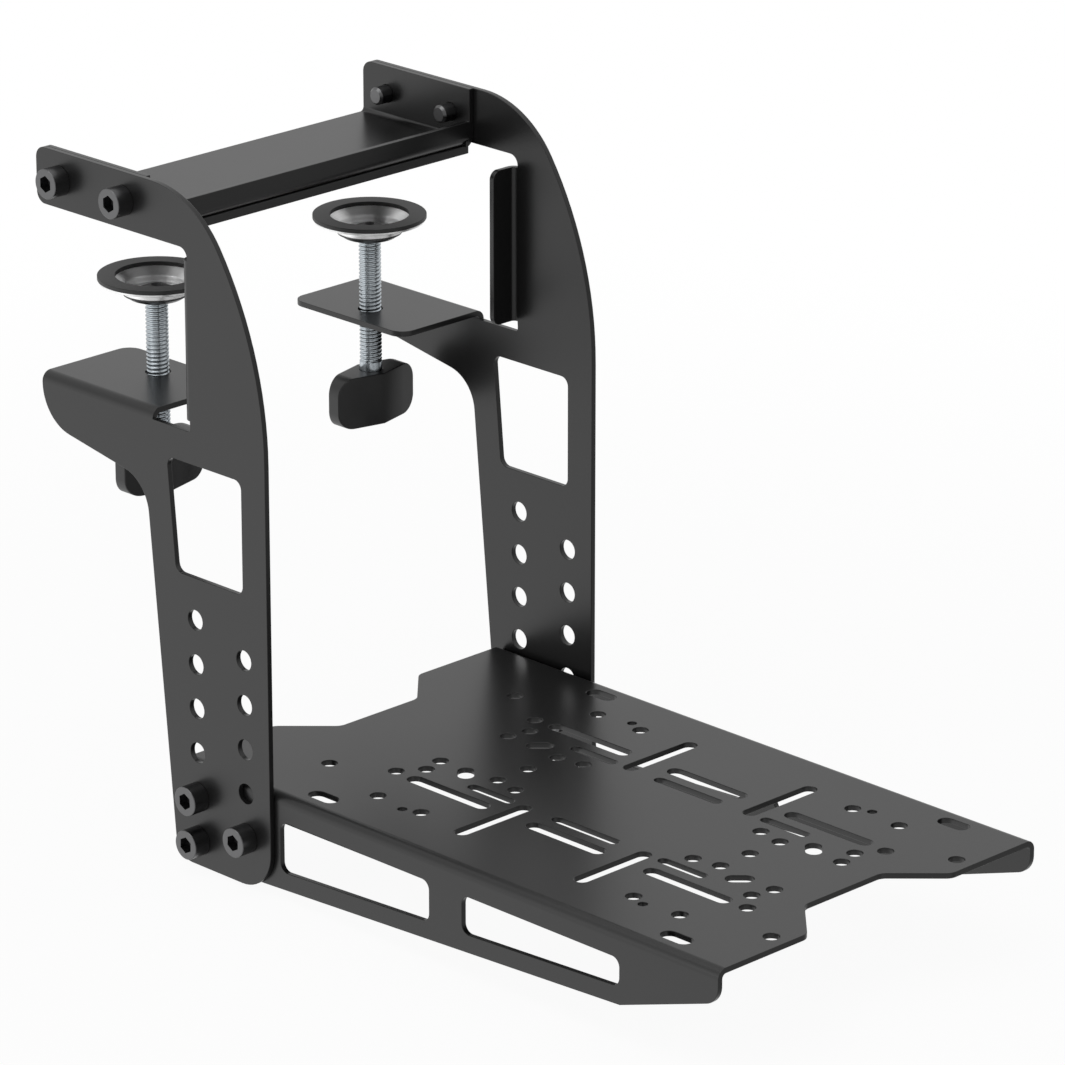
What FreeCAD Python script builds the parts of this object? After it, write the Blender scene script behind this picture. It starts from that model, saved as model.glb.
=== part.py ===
import FreeCAD, Part
import math
import os
import Sketcher

# Desk mount for a steering wheel base, in millimetres.
# X runs across the mount, +Y points under the desk, +Z points up.
# The origin is the middle of the rubber strip's underside, which rests on the desk top.

Vector = FreeCAD.Vector
doc = FreeCAD.newDocument("desk_mount")
sheet = doc.addObject("Spreadsheet::Sheet", "Sizes")

DRIVING_SIZES = {
    # Sheet steel
    "gauge": 2.5,
    "bend_inner": 2.0,
    "rail_gap": 188.5,
    # Side plate, seen from the side
    "plate_front": -104.8,
    "plate_top": 29.7,
    "foot_height": -269.7,
    "foot_front_round": 18.0,
    "foot_rear": -45.9,
    "foot_rear_round": 10.0,
    "knee_rear": -30.6,
    "knee_height": -103.5,
    "knee_round": 18.0,
    "arm_reach": 35.1,
    "jaw_tip_height": -92.0,
    "jaw_tip_round": 20.0,
    "arm_underside": 4.9,
    "arm_round": 5.0,
    "throat_round": 4.5,
    "throat_relief": 1.5,
    "brow_start": -79.2,
    "brow_radius": 154.4,
    "crown_radius": 49.4,
    # Window in the side plate
    "window_top": -88.9,
    "window_sill": -139.1,
    "window_front": -90.0,
    "window_rear_top": -44.1,
    "window_rear_sill": -48.6,
    "window_round": 4.0,
    # Height holes in the side plate
    "grid_top": -158.0,
    "grid_pitch": 20.0,
    "grid_rear": -60.0,
    "grid_column_gap": 30.0,
    "grid_step": 10.0,
    "rear_hole_count": 6,
    "front_hole_count": 5,
    "hole_bore": 9.0,
    # Desk stop and clamp shelf, folded from the side plate
    "stop_face": -54.6,
    "stop_width": 15.0,
    "stop_bottom": -70.1,
    "stop_top": -0.3,
    "stop_round": 4.0,
    "shelf_top": -70.3,
    "shelf_width": 49.8,
    "shelf_depth": 70.8,
    "shelf_round": 7.0,
    "clamp_inset": 34.75,
    "shelf_bore": 11.0,
    # Crossbar and its rubber strip
    "strip_height": 4.0,
    "strip_depth": 60.0,
    "strip_left_end": -72.0,
    "strip_right_end": 93.4,
    "bar_front": -32.0,
    "bar_rear": 35.1,
    "bar_lip_height": 11.0,
    "bar_tab_round": 5.0,
    "bar_bolt_height": 17.3,
    "bar_bolt_spread": 40.0,
    "tapped_bore": 8.1,
    # Socket head bolts
    "bolt_shank": 8.0,
    "bolt_length": 12.0,
    "bolt_tip_chamfer": 1.0,
    "head_width": 13.0,
    "head_height": 8.0,
    "head_chamfer": 0.4,
    "socket_flats": 6.0,
    "socket_depth": 4.5,
    # Wheel deck, measured from the middle of its hole pattern
    "deck_middle": -225.2,
    "deck_drop": 65.8,
    "deck_rear": 176.4,
    "deck_front": -136.4,
    "deck_skirt_rear": 45.9,
    "deck_skirt_kink": -82.5,
    "deck_skirt_kink_drop": 32.1,
    "deck_skirt_front_drop": 14.1,
    "deck_skirt_round": 9.0,
    "deck_rear_round": 4.0,
    "notch_depth": 20.4,
    "notch_inner_half": 22.7,
    "notch_outer_half": 43.1,
    "notch_round": 6.0,
    # Windows in the deck's skirts
    "skirt_window_drop": 12.0,
    "skirt_window_length": 89.8,
    "skirt_window_gap": 19.4,
    "skirt_window_rear": 116.9,
    "skirt_strip": 7.9,
    "skirt_window_round": 4.0,
    # Clamp screw, cup, rubber ring and knob
    "screw_width": 10.0,
    "screw_neck": 7.0,
    "screw_chamfer": 0.8,
    "running_gap": 0.3,
    "neck_gap": 0.1,
    "ring_top": -26.8,
    "ring_width": 49.9,
    "ring_bore": 34.8,
    "ring_height": 1.8,
    "ring_edge": 0.5,
    "cup_height": 8.4,
    "cup_wall": 1.2,
    "cup_floor": 2.0,
    "cup_foot_width": 30.0,
    "cup_foot_height": 5.0,
    "cup_foot_round": 2.8,
    "cup_mouth_width": 34.0,
    "cup_rim_width": 48.9,
    "rivet_width": 20.0,
    "rivet_side": 2.8,
    "rivet_crown": 1.5,
    "rivet_dome": 32.0,
    "dimple_width": 4.2,
    "dimple_depth": 1.4,
    "knob_top": -98.2,
    "knob_height": 23.4,
    "knob_half_length": 22.7,
    "knob_hub_half": 8.8,
    "knob_end_half": 3.2,
    "knob_end_round": 8.0,
    "knob_bore_depth": 16.0,
}

for row, (alias, value) in enumerate(DRIVING_SIZES.items(), start=1):
    sheet.set(f"A{row}", alias)
    sheet.set(f"B{row}", str(value))
    sheet.setAlias(f"B{row}", alias)
doc.recompute()


ACROSS = Vector(1, 0, 0)
ALONG = Vector(0, 1, 0)
UPWARD = Vector(0, 0, 1)
BEND = "(Sizes.bend_inner + Sizes.gauge)"
OUTER_FACE = "-Sizes.rail_gap / 2 - Sizes.gauge"
CLAMP_ACROSS = f"{OUTER_FACE} + Sizes.clamp_inset"

# The least volume that a cut must take, and how near an edge must be to its named place.
SMALLEST_CUT = 0.01
EDGE_REACH = 0.02
STRAIGHT_ENOUGH = 1e-6


def value(text):
    """What a formula of sizes comes to now."""
    return float(sheet.evalExpression(text))


# Bodies, sketches and features

def new_body(name):
    body = doc.addObject("PartDesign::Body", name)
    body.Label = name
    return body


def origin_plane(body, role):
    return next(feature for feature in body.Origin.OriginFeatures if feature.Role == role)


def new_sketch(body, role, name, offset="0"):
    """A sketch on one of the body's own planes, moved along that plane's normal."""
    sketch = body.newObject("Sketcher::SketchObject", name)
    sketch.AttachmentSupport = [(origin_plane(body, role), "")]
    sketch.MapMode = "FlatFace"
    sketch.setExpression("AttachmentOffset.Base.z", offset)
    return sketch


def tie(sketch, kind, items, text):
    """Adds one dimension to a sketch and binds it to a formula of sizes."""
    index = sketch.addConstraint(Sketcher.Constraint(kind, *items, value(text)))
    sketch.setExpression(f"Constraints[{index}]", text)


def pin(sketch, geometry, point, across, up):
    """Ties one point of a sketch to two formulas, counted from the sketch's origin."""
    tie(sketch, "DistanceX", (-1, 1, geometry, point), across)
    tie(sketch, "DistanceY", (-1, 1, geometry, point), up)


def spot(across, up):
    return Vector(value(across), value(up), 0)


def bulge(start, finish, radius):
    """An arc from one point to another with its middle on the left of the way."""
    way = finish - start
    reach = math.sqrt(radius ** 2 - way.Length ** 2 / 4)
    middle = start + way / 2 + Vector(-way.y, way.x, 0) * (reach / way.Length)
    first = math.atan2(start.y - middle.y, start.x - middle.x)
    last = math.atan2(finish.y - middle.y, finish.x - middle.x)
    return Part.ArcOfCircle(Part.Circle(middle, UPWARD, radius), first, last)


def add_polygon(sketch, corners, bulges=None):
    """A closed outline, each corner tied to the sizes; some sides may bulge outwards."""
    bulges = bulges or {}
    count = len(corners)
    spots = [spot(*corner) for corner in corners]
    first = sketch.GeometryCount
    for number in range(count):
        ends = (spots[number], spots[(number + 1) % count])
        if number in bulges:
            sketch.addGeometry(bulge(*ends, value(bulges[number])))
        else:
            sketch.addGeometry(Part.LineSegment(*ends))
    for number in range(count):
        follower = first + (number + 1) % count
        sketch.addConstraint(Sketcher.Constraint("Coincident", first + number, 2, follower, 1))
    for number, (across, up) in enumerate(corners):
        pin(sketch, first + number, 1, across, up)
    for number, radius in bulges.items():
        tie(sketch, "Radius", (first + number,), radius)


def add_circle(sketch, across, up, width):
    circle = sketch.addGeometry(Part.Circle(spot(across, up), UPWARD, value(width) / 2))
    pin(sketch, circle, 3, across, up)
    tie(sketch, "Diameter", (circle,), width)


def add_slot(sketch, near_end, far_end, width):
    """A round-ended slot between the centres of its two end arcs."""
    start = spot(*near_end)
    finish = spot(*far_end)
    half = value(width) / 2
    heading = math.atan2(finish.y - start.y, finish.x - start.x)
    side = Vector(-math.sin(heading), math.cos(heading), 0) * half
    left = sketch.addGeometry(Part.ArcOfCircle(
        Part.Circle(start, UPWARD, half), heading + math.pi / 2, heading + 3 * math.pi / 2))
    right = sketch.addGeometry(Part.ArcOfCircle(
        Part.Circle(finish, UPWARD, half), heading - math.pi / 2, heading + math.pi / 2))
    low = sketch.addGeometry(Part.LineSegment(start - side, finish - side))
    high = sketch.addGeometry(Part.LineSegment(finish + side, start + side))
    for first, second in ((left, low), (low, right), (right, high), (high, left)):
        sketch.addConstraint(Sketcher.Constraint("Tangent", first, 2, second, 1))
    sketch.addConstraint(Sketcher.Constraint("Equal", left, right))
    tie(sketch, "Radius", (left,), f"({width}) / 2")
    pin(sketch, left, 3, *near_end)
    pin(sketch, right, 3, *far_end)


def add_bend_section(sketch, across, up, reach):
    """A quarter bend that leaves a sheet's edge and lies over into a flat leaf."""
    outer = value(BEND)
    inner = value("Sizes.bend_inner")
    corner = spot(across, up)
    middle = corner + Vector(outer, 0, 0)
    tip = Vector(corner.x + value(reach), corner.y, 0)
    over = sketch.addGeometry(
        Part.ArcOfCircle(Part.Circle(middle, UPWARD, outer), math.pi / 2, math.pi))
    under = sketch.addGeometry(
        Part.ArcOfCircle(Part.Circle(middle, UPWARD, inner), math.pi / 2, math.pi))
    top = sketch.addGeometry(Part.LineSegment(
        Vector(tip.x, tip.y + outer, 0), Vector(middle.x, middle.y + outer, 0)))
    end = sketch.addGeometry(Part.LineSegment(
        Vector(tip.x, tip.y + inner, 0), Vector(tip.x, tip.y + outer, 0)))
    bottom = sketch.addGeometry(Part.LineSegment(
        Vector(middle.x, middle.y + inner, 0), Vector(tip.x, tip.y + inner, 0)))
    base = sketch.addGeometry(Part.LineSegment(
        corner, Vector(corner.x + outer - inner, corner.y, 0)))
    for first, first_end, second, second_end in (
            (end, 2, top, 1), (bottom, 2, end, 1), (over, 2, base, 1), (base, 2, under, 2)):
        sketch.addConstraint(
            Sketcher.Constraint("Coincident", first, first_end, second, second_end))
    sketch.addConstraint(Sketcher.Constraint("Tangent", top, 2, over, 1))
    sketch.addConstraint(Sketcher.Constraint("Tangent", bottom, 1, under, 1))
    sketch.addConstraint(Sketcher.Constraint("Coincident", over, 3, under, 3))
    sketch.addConstraint(Sketcher.Constraint("Horizontal", top))
    sketch.addConstraint(Sketcher.Constraint("Vertical", end))
    sketch.addConstraint(Sketcher.Constraint("Horizontal", base))
    tie(sketch, "Radius", (over,), BEND)
    tie(sketch, "Radius", (under,), "Sizes.bend_inner")
    pin(sketch, base, 1, across, up)
    tie(sketch, "DistanceX", (-1, 1, end, 2), f"({across}) + ({reach})")


def pad(body, sketch, length, both_ways=False):
    feature = body.newObject("PartDesign::Pad", sketch.Name + "_pad")
    feature.Profile = sketch
    feature.Midplane = both_ways
    feature.setExpression("Length", length)
    doc.recompute()
    return feature


def cut_through(body, sketch):
    """A pocket that goes right through, both ways from its sketch."""
    before = body.Shape.Volume
    feature = body.newObject("PartDesign::Pocket", sketch.Name + "_cut")
    feature.Profile = sketch
    feature.Midplane = True
    feature.Type = "ThroughAll"
    doc.recompute()
    check_cut(feature, before)
    return feature


def cut_depth(body, sketch, depth):
    before = body.Shape.Volume
    feature = body.newObject("PartDesign::Pocket", sketch.Name + "_cut")
    feature.Profile = sketch
    feature.setExpression("Length", depth)
    doc.recompute()
    check_cut(feature, before)
    return feature


def check_cut(feature, before):
    if not feature.Shape.Volume < before - SMALLEST_CUT:
        raise RuntimeError(feature.Name + " removes nothing")


def spin(body, sketch):
    """A full turn of a half section about the sketch's vertical axis."""
    feature = body.newObject("PartDesign::Revolution", sketch.Name + "_turn")
    feature.Profile = sketch
    feature.ReferenceAxis = (sketch, ["V_Axis"])
    feature.Angle = 360
    doc.recompute()
    return feature


def round_edges(body, direction, places, radius, name):
    """Fillets the edges along a direction that pass through the given places.

    Each place is two formulas: along and up for ACROSS, across and up for ALONG,
    across and along for UPWARD.
    """
    names = []
    for first, second in places:
        pair = [value(first), value(second)]
        pair.insert((ACROSS, ALONG, UPWARD).index(direction), 0.0)
        wanted = Vector(*pair)
        found = []
        for number, edge in enumerate(body.Shape.Edges, start=1):
            if edge.Curve.TypeId != "Part::GeomLine":
                continue
            if edge.Curve.Direction.cross(direction).Length > STRAIGHT_ENOUGH:
                continue
            centre = edge.CenterOfMass
            flat = centre - direction * centre.dot(direction)
            if (flat - wanted).Length < EDGE_REACH:
                found.append(f"Edge{number}")
        if not found:
            raise RuntimeError(f"{name} found no edge at {first}, {second}")
        names.extend(found)
    last = body.Tip
    feature = body.newObject("PartDesign::Fillet", name)
    feature.Base = (last, names)
    feature.setExpression("Radius", radius)
    doc.recompute()
    return feature


# Side plates

def plate_outline(sketch):
    """The side plate's edge: foot, leg, clamp jaw, throat, top arm and curved brow."""
    corners = [
        ("Sizes.plate_front", "Sizes.foot_height"),
        ("Sizes.foot_rear", "Sizes.foot_height"),
        ("Sizes.knee_rear", "Sizes.knee_height"),
        ("Sizes.arm_reach", "Sizes.jaw_tip_height"),
        ("Sizes.arm_reach", f"Sizes.shelf_top - {BEND}"),
        (f"Sizes.stop_face - {BEND}", f"Sizes.shelf_top - {BEND}"),
        (f"Sizes.stop_face - {BEND}", "Sizes.arm_underside"),
        ("Sizes.arm_reach", "Sizes.arm_underside"),
        ("Sizes.arm_reach", "Sizes.plate_top"),
    ]
    front = value("Sizes.plate_front")
    brow = value("Sizes.brow_radius")
    crown = value("Sizes.crown_radius")
    brow_middle = Vector(front + brow, value("Sizes.brow_start"), 0)
    crown_height = value("Sizes.plate_top") - crown
    rise = math.asin((crown_height - brow_middle.y) / (brow - crown))
    crown_middle = brow_middle + Vector(-math.cos(rise), math.sin(rise), 0) * (brow - crown)
    crown_arc_end = math.pi - rise

    spots = [spot(*corner) for corner in corners]
    spots.append(crown_middle + Vector(0, crown, 0))
    count = len(corners)
    for number in range(count):
        sketch.addGeometry(Part.LineSegment(spots[number], spots[number + 1]))
    top_line = count - 1
    crown_arc = sketch.addGeometry(
        Part.ArcOfCircle(Part.Circle(crown_middle, UPWARD, crown), math.pi / 2, crown_arc_end))
    brow_arc = sketch.addGeometry(
        Part.ArcOfCircle(Part.Circle(brow_middle, UPWARD, brow), crown_arc_end, math.pi))
    front_line = sketch.addGeometry(
        Part.LineSegment(Vector(front, brow_middle.y, 0), spots[0]))

    for number in range(count - 1):
        sketch.addConstraint(Sketcher.Constraint("Coincident", number, 2, number + 1, 1))
    for number, (across, up) in enumerate(corners):
        pin(sketch, number, 1, across, up)
    sketch.addConstraint(Sketcher.Constraint("Coincident", front_line, 2, 0, 1))
    for first, second in ((top_line, crown_arc), (crown_arc, brow_arc), (brow_arc, front_line)):
        sketch.addConstraint(Sketcher.Constraint("Tangent", first, 2, second, 1))
    sketch.addConstraint(Sketcher.Constraint("Horizontal", top_line))
    sketch.addConstraint(Sketcher.Constraint("Vertical", front_line))
    tie(sketch, "Radius", (crown_arc,), "Sizes.crown_radius")
    tie(sketch, "Radius", (brow_arc,), "Sizes.brow_radius")
    tie(sketch, "DistanceY", (-1, 1, front_line, 1), "Sizes.brow_start")


def hole_height(column, number):
    """Height of a hole in the staggered grid: the front column starts one step lower."""
    lowered = " - Sizes.grid_step" if column == "front" else ""
    return f"Sizes.grid_top - {number} * Sizes.grid_pitch{lowered}"


def hole_place(column):
    return "Sizes.grid_rear - Sizes.grid_column_gap" if column == "front" else "Sizes.grid_rear"


def bolt_places():
    """Along and up places of the bolts on one side: two in the crossbar, three in the deck."""
    last_rear = int(value("Sizes.rear_hole_count")) - 1
    last_front = int(value("Sizes.front_hole_count")) - 1
    return {
        "bar_bolt_rear": ("Sizes.bar_bolt_spread / 2", "Sizes.bar_bolt_height"),
        "bar_bolt_front": ("-Sizes.bar_bolt_spread / 2", "Sizes.bar_bolt_height"),
        "deck_bolt_upper": (hole_place("rear"), hole_height("rear", last_rear - 1)),
        "deck_bolt_lower": (hole_place("rear"), hole_height("rear", last_rear)),
        "deck_bolt_front": (hole_place("front"), hole_height("front", last_front)),
    }


def make_side_plate(name):
    body = new_body(name)
    blank = new_sketch(body, "YZ_Plane", name + "_blank", OUTER_FACE)
    plate_outline(blank)
    pad(body, blank, "Sizes.gauge")
    throat = f"Sizes.stop_face - {BEND}"
    rounds = {
        "foot_front_round": [("Sizes.plate_front", "Sizes.foot_height")],
        "foot_rear_round": [("Sizes.foot_rear", "Sizes.foot_height")],
        "knee_round": [("Sizes.knee_rear", "Sizes.knee_height")],
        "jaw_tip_round": [("Sizes.arm_reach", "Sizes.jaw_tip_height")],
        "throat_relief": [(throat, f"Sizes.shelf_top - {BEND}")],
        "throat_round": [(throat, "Sizes.arm_underside")],
        "arm_round": [("Sizes.arm_reach", "Sizes.arm_underside"),
                      ("Sizes.arm_reach", "Sizes.plate_top")],
    }
    for radius, places in rounds.items():
        round_edges(body, ACROSS, places, "Sizes." + radius, f"{name}_{radius}")

    window = new_sketch(body, "YZ_Plane", name + "_window", OUTER_FACE)
    corners = [
        ("Sizes.window_front", "Sizes.window_sill"),
        ("Sizes.window_rear_sill", "Sizes.window_sill"),
        ("Sizes.window_rear_top", "Sizes.window_top"),
        ("Sizes.window_front", "Sizes.window_top"),
    ]
    add_polygon(window, corners)
    cut_through(body, window)
    round_edges(body, ACROSS, corners, "Sizes.window_round", name + "_window_round")

    holes = new_sketch(body, "YZ_Plane", name + "_holes", OUTER_FACE)
    for column, count in (("rear", "rear_hole_count"), ("front", "front_hole_count")):
        for number in range(int(value("Sizes." + count))):
            add_circle(holes, hole_place(column), hole_height(column, number), "Sizes.hole_bore")
    for place in ("bar_bolt_rear", "bar_bolt_front"):
        add_circle(holes, *bolt_places()[place], "Sizes.hole_bore")
    cut_through(body, holes)

    # The desk stop stands across the throat and is rounded at its free corners.
    stop = new_sketch(body, "XY_Plane", name + "_stop", "Sizes.stop_bottom")
    add_bend_section(stop, OUTER_FACE, f"Sizes.stop_face - {BEND}", "Sizes.stop_width")
    pad(body, stop, "Sizes.stop_top - Sizes.stop_bottom")
    free_edge = f"{OUTER_FACE} + Sizes.stop_width"
    places = [(free_edge, "Sizes.stop_bottom"), (free_edge, "Sizes.stop_top")]
    round_edges(body, ALONG, places, "Sizes.stop_round", name + "_stop_round")

    # The clamp shelf lies over from the jaw's upper edge and carries the screw.
    shelf = new_sketch(body, "XZ_Plane", name + "_shelf", "-Sizes.arm_reach")
    add_bend_section(shelf, OUTER_FACE, f"Sizes.shelf_top - {BEND}", "Sizes.shelf_width")
    pad(body, shelf, "Sizes.shelf_depth")
    shelf_edge = f"{OUTER_FACE} + Sizes.shelf_width"
    places = [(shelf_edge, "Sizes.arm_reach"),
              (shelf_edge, "Sizes.arm_reach - Sizes.shelf_depth")]
    round_edges(body, UPWARD, places, "Sizes.shelf_round", name + "_shelf_round")
    bore = new_sketch(body, "XY_Plane", name + "_shelf_bore", "Sizes.shelf_top")
    add_circle(bore, CLAMP_ACROSS, "0", "Sizes.shelf_bore")
    cut_through(body, bore)
    return body


# Crossbar over the desk, with a folded lip in front and a tab up at each end

def round_tray_bends(body, name, half, level, sign):
    """Rounds the two long bends of a channel whose web lies at one level."""
    outer = [(f"-({half})", level), (half, level)]
    inner_level = f"{level} + {sign} * Sizes.gauge"
    inner = [(f"-({half}) + Sizes.gauge", inner_level), (f"{half} - Sizes.gauge", inner_level)]
    round_edges(body, ALONG, outer, BEND, name + "_outer_bends")
    round_edges(body, ALONG, inner, "Sizes.bend_inner", name + "_inner_bends")


def make_crossbar(name):
    body = new_body(name)
    half = "Sizes.rail_gap / 2"
    tray = new_sketch(body, "XZ_Plane", name + "_tray", "-Sizes.bar_rear")
    add_polygon(tray, [
        (f"-{half}", "Sizes.strip_height"),
        (half, "Sizes.strip_height"),
        (half, "Sizes.plate_top"),
        (f"{half} - Sizes.gauge", "Sizes.plate_top"),
        (f"{half} - Sizes.gauge", "Sizes.strip_height + Sizes.gauge"),
        (f"-{half} + Sizes.gauge", "Sizes.strip_height + Sizes.gauge"),
        (f"-{half} + Sizes.gauge", "Sizes.plate_top"),
        (f"-{half}", "Sizes.plate_top"),
    ])
    pad(body, tray, "Sizes.bar_rear - Sizes.bar_front")
    round_tray_bends(body, name, half, "Sizes.strip_height", 1)
    round_edges(body, ACROSS, [("Sizes.bar_rear", "Sizes.plate_top")],
                "Sizes.bar_tab_round", name + "_tab_round")

    # The lip folds up between the tabs and closes against them at both ends.
    mouth = new_sketch(body, "XY_Plane", name + "_mouth", "Sizes.strip_height")
    add_polygon(mouth, [
        (f"-({half} - {BEND})", "Sizes.bar_front - Sizes.gauge"),
        (f"{half} - {BEND}", "Sizes.bar_front - Sizes.gauge"),
        (f"{half} - {BEND}", f"Sizes.bar_front + {BEND}"),
        (f"-({half} - {BEND})", f"Sizes.bar_front + {BEND}"),
    ])
    cut_through(body, mouth)

    lip = new_sketch(body, "YZ_Plane", name + "_lip")
    outer = value(BEND)
    inner = value("Sizes.bend_inner")
    root_low = spot(f"Sizes.bar_front + {BEND}", "Sizes.strip_height")
    middle = root_low + Vector(0, outer, 0)
    high = value("Sizes.strip_height + Sizes.bar_lip_height")
    under = lip.addGeometry(Part.ArcOfCircle(
        Part.Circle(middle, UPWARD, outer), math.pi, 3 * math.pi / 2))
    over = lip.addGeometry(Part.ArcOfCircle(
        Part.Circle(middle, UPWARD, inner), math.pi, 3 * math.pi / 2))
    front = lip.addGeometry(Part.LineSegment(
        Vector(middle.x - outer, high, 0), Vector(middle.x - outer, middle.y, 0)))
    back = lip.addGeometry(Part.LineSegment(
        Vector(middle.x - inner, high, 0), Vector(middle.x - inner, middle.y, 0)))
    crest = lip.addGeometry(Part.LineSegment(
        Vector(middle.x - inner, high, 0), Vector(middle.x - outer, high, 0)))
    root = lip.addGeometry(Part.LineSegment(root_low, root_low + Vector(0, outer - inner, 0)))
    for first, first_end, second, second_end in (
            (under, 3, over, 3), (crest, 1, back, 1), (crest, 2, front, 1),
            (root, 1, under, 2), (root, 2, over, 2)):
        lip.addConstraint(
            Sketcher.Constraint("Coincident", first, first_end, second, second_end))
    lip.addConstraint(Sketcher.Constraint("Tangent", front, 2, under, 1))
    lip.addConstraint(Sketcher.Constraint("Tangent", back, 2, over, 1))
    lip.addConstraint(Sketcher.Constraint("Vertical", front))
    lip.addConstraint(Sketcher.Constraint("Horizontal", crest))
    lip.addConstraint(Sketcher.Constraint("Vertical", root))
    tie(lip, "Radius", (under,), BEND)
    tie(lip, "Radius", (over,), "Sizes.bend_inner")
    pin(lip, root, 1, f"Sizes.bar_front + {BEND}", "Sizes.strip_height")
    tie(lip, "DistanceY", (-1, 1, crest, 1), "Sizes.strip_height + Sizes.bar_lip_height")
    pad(body, lip, "Sizes.rail_gap - 2 * Sizes.gauge", both_ways=True)

    holes = new_sketch(body, "YZ_Plane", name + "_holes")
    for place in ("bar_bolt_rear", "bar_bolt_front"):
        add_circle(holes, *bolt_places()[place], "Sizes.tapped_bore")
    cut_through(body, holes)
    return body


def make_rubber_strip(name):
    body = new_body(name)
    face = new_sketch(body, "XY_Plane", name + "_face")
    add_polygon(face, [
        ("Sizes.strip_left_end", "-Sizes.strip_depth / 2"),
        ("Sizes.strip_right_end", "-Sizes.strip_depth / 2"),
        ("Sizes.strip_right_end", "Sizes.strip_depth / 2"),
        ("Sizes.strip_left_end", "Sizes.strip_depth / 2"),
    ])
    pad(body, face, "Sizes.strip_height")
    return body


# Deck for the wheel base

HOLE_WIDTH = 7.0
SMALL_HOLE_WIDTH = 4.2
CORNER_HOLES = {
    "rear_outer": (55.2, 128.2),
    "mid_outer": (41.2, 101.9),
    "mid_inner": (30.7, 94.4),
    "inner_rear": (20.0, 96.9),
    "side_rear": (65.3, 87.6),
    "side_front": (65.2, 61.7),
    "hub_wide": (17.7, 64.7),
    "hub_near": (20.2, 51.6),
}
PILOT_HOLE = (68.3, 69.8)
MIDDLE_HOLE = (0.0, 64.5)
CORNER_SLOTS = {
    "edge": ((82.5, 98.4), (82.5, 106.4), 7.5),
    "long": ((42.0, 49.2), (42.0, 89.5), 7.0),
    "short": ((30.5, 44.9), (30.5, 66.2), 5.0),
    "cross": ((32.0, 34.8), (67.5, 34.8), 7.0),
    "slanted": ((20.2, 81.3), (23.8, 77.7), 7.0),
}
SIDE_SLOTS = {
    "long_middle": ((42.0, -18.5), (42.0, 18.5), 7.0),
    "short_middle": ((30.5, -16.5), (30.5, 16.5), 5.0),
}


def add_number_cells(start_row):
    """The deck's hole pattern goes into the sheet too, one cell for each number."""
    cells = {"deck_hole": HOLE_WIDTH, "deck_pilot": SMALL_HOLE_WIDTH}
    for name, (across, along) in CORNER_HOLES.items():
        cells[name + "_across"] = across
        cells[name + "_along"] = along
    cells["pilot_across"], cells["pilot_along"] = PILOT_HOLE
    cells["middle_across"], cells["middle_along"] = MIDDLE_HOLE
    for name, (near, far, width) in {**CORNER_SLOTS, **SIDE_SLOTS}.items():
        cells[name + "_slot_from_across"], cells[name + "_slot_from_along"] = near
        cells[name + "_slot_to_across"], cells[name + "_slot_to_along"] = far
        cells[name + "_slot_width"] = width
    for offset, (alias, value) in enumerate(cells.items()):
        sheet.set(f"A{start_row + offset}", alias)
        sheet.set(f"B{start_row + offset}", str(value))
        sheet.setAlias(f"B{start_row + offset}", alias)
    doc.recompute()


add_number_cells(len(DRIVING_SIZES) + 1)


def pattern_slot(sketch, name):
    ends = []
    for end in ("from", "to"):
        ends.append((f"Sizes.{name}_slot_{end}_across", f"Sizes.{name}_slot_{end}_along"))
    add_slot(sketch, ends[0], ends[1], f"Sizes.{name}_slot_width")


def mirror_cut(body, feature, roles, name):
    """Repeats a cut on the far side of one plane, or of two."""
    before = body.Shape.Volume
    mirrors = []
    for number, role in enumerate(roles):
        mirror = body.newObject("PartDesign::Mirrored", f"{name}_{number}")
        mirror.MirrorPlane = (origin_plane(body, role), [""])
        mirrors.append(mirror)
    if len(mirrors) == 1:
        mirrors[0].Originals = [feature]
        body.Tip = mirrors[0]
    else:
        both = body.newObject("PartDesign::MultiTransform", name)
        both.Originals = [feature]
        both.Transformations = mirrors
        body.Tip = both
    doc.recompute()
    check_cut(body.Tip, before)


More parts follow.
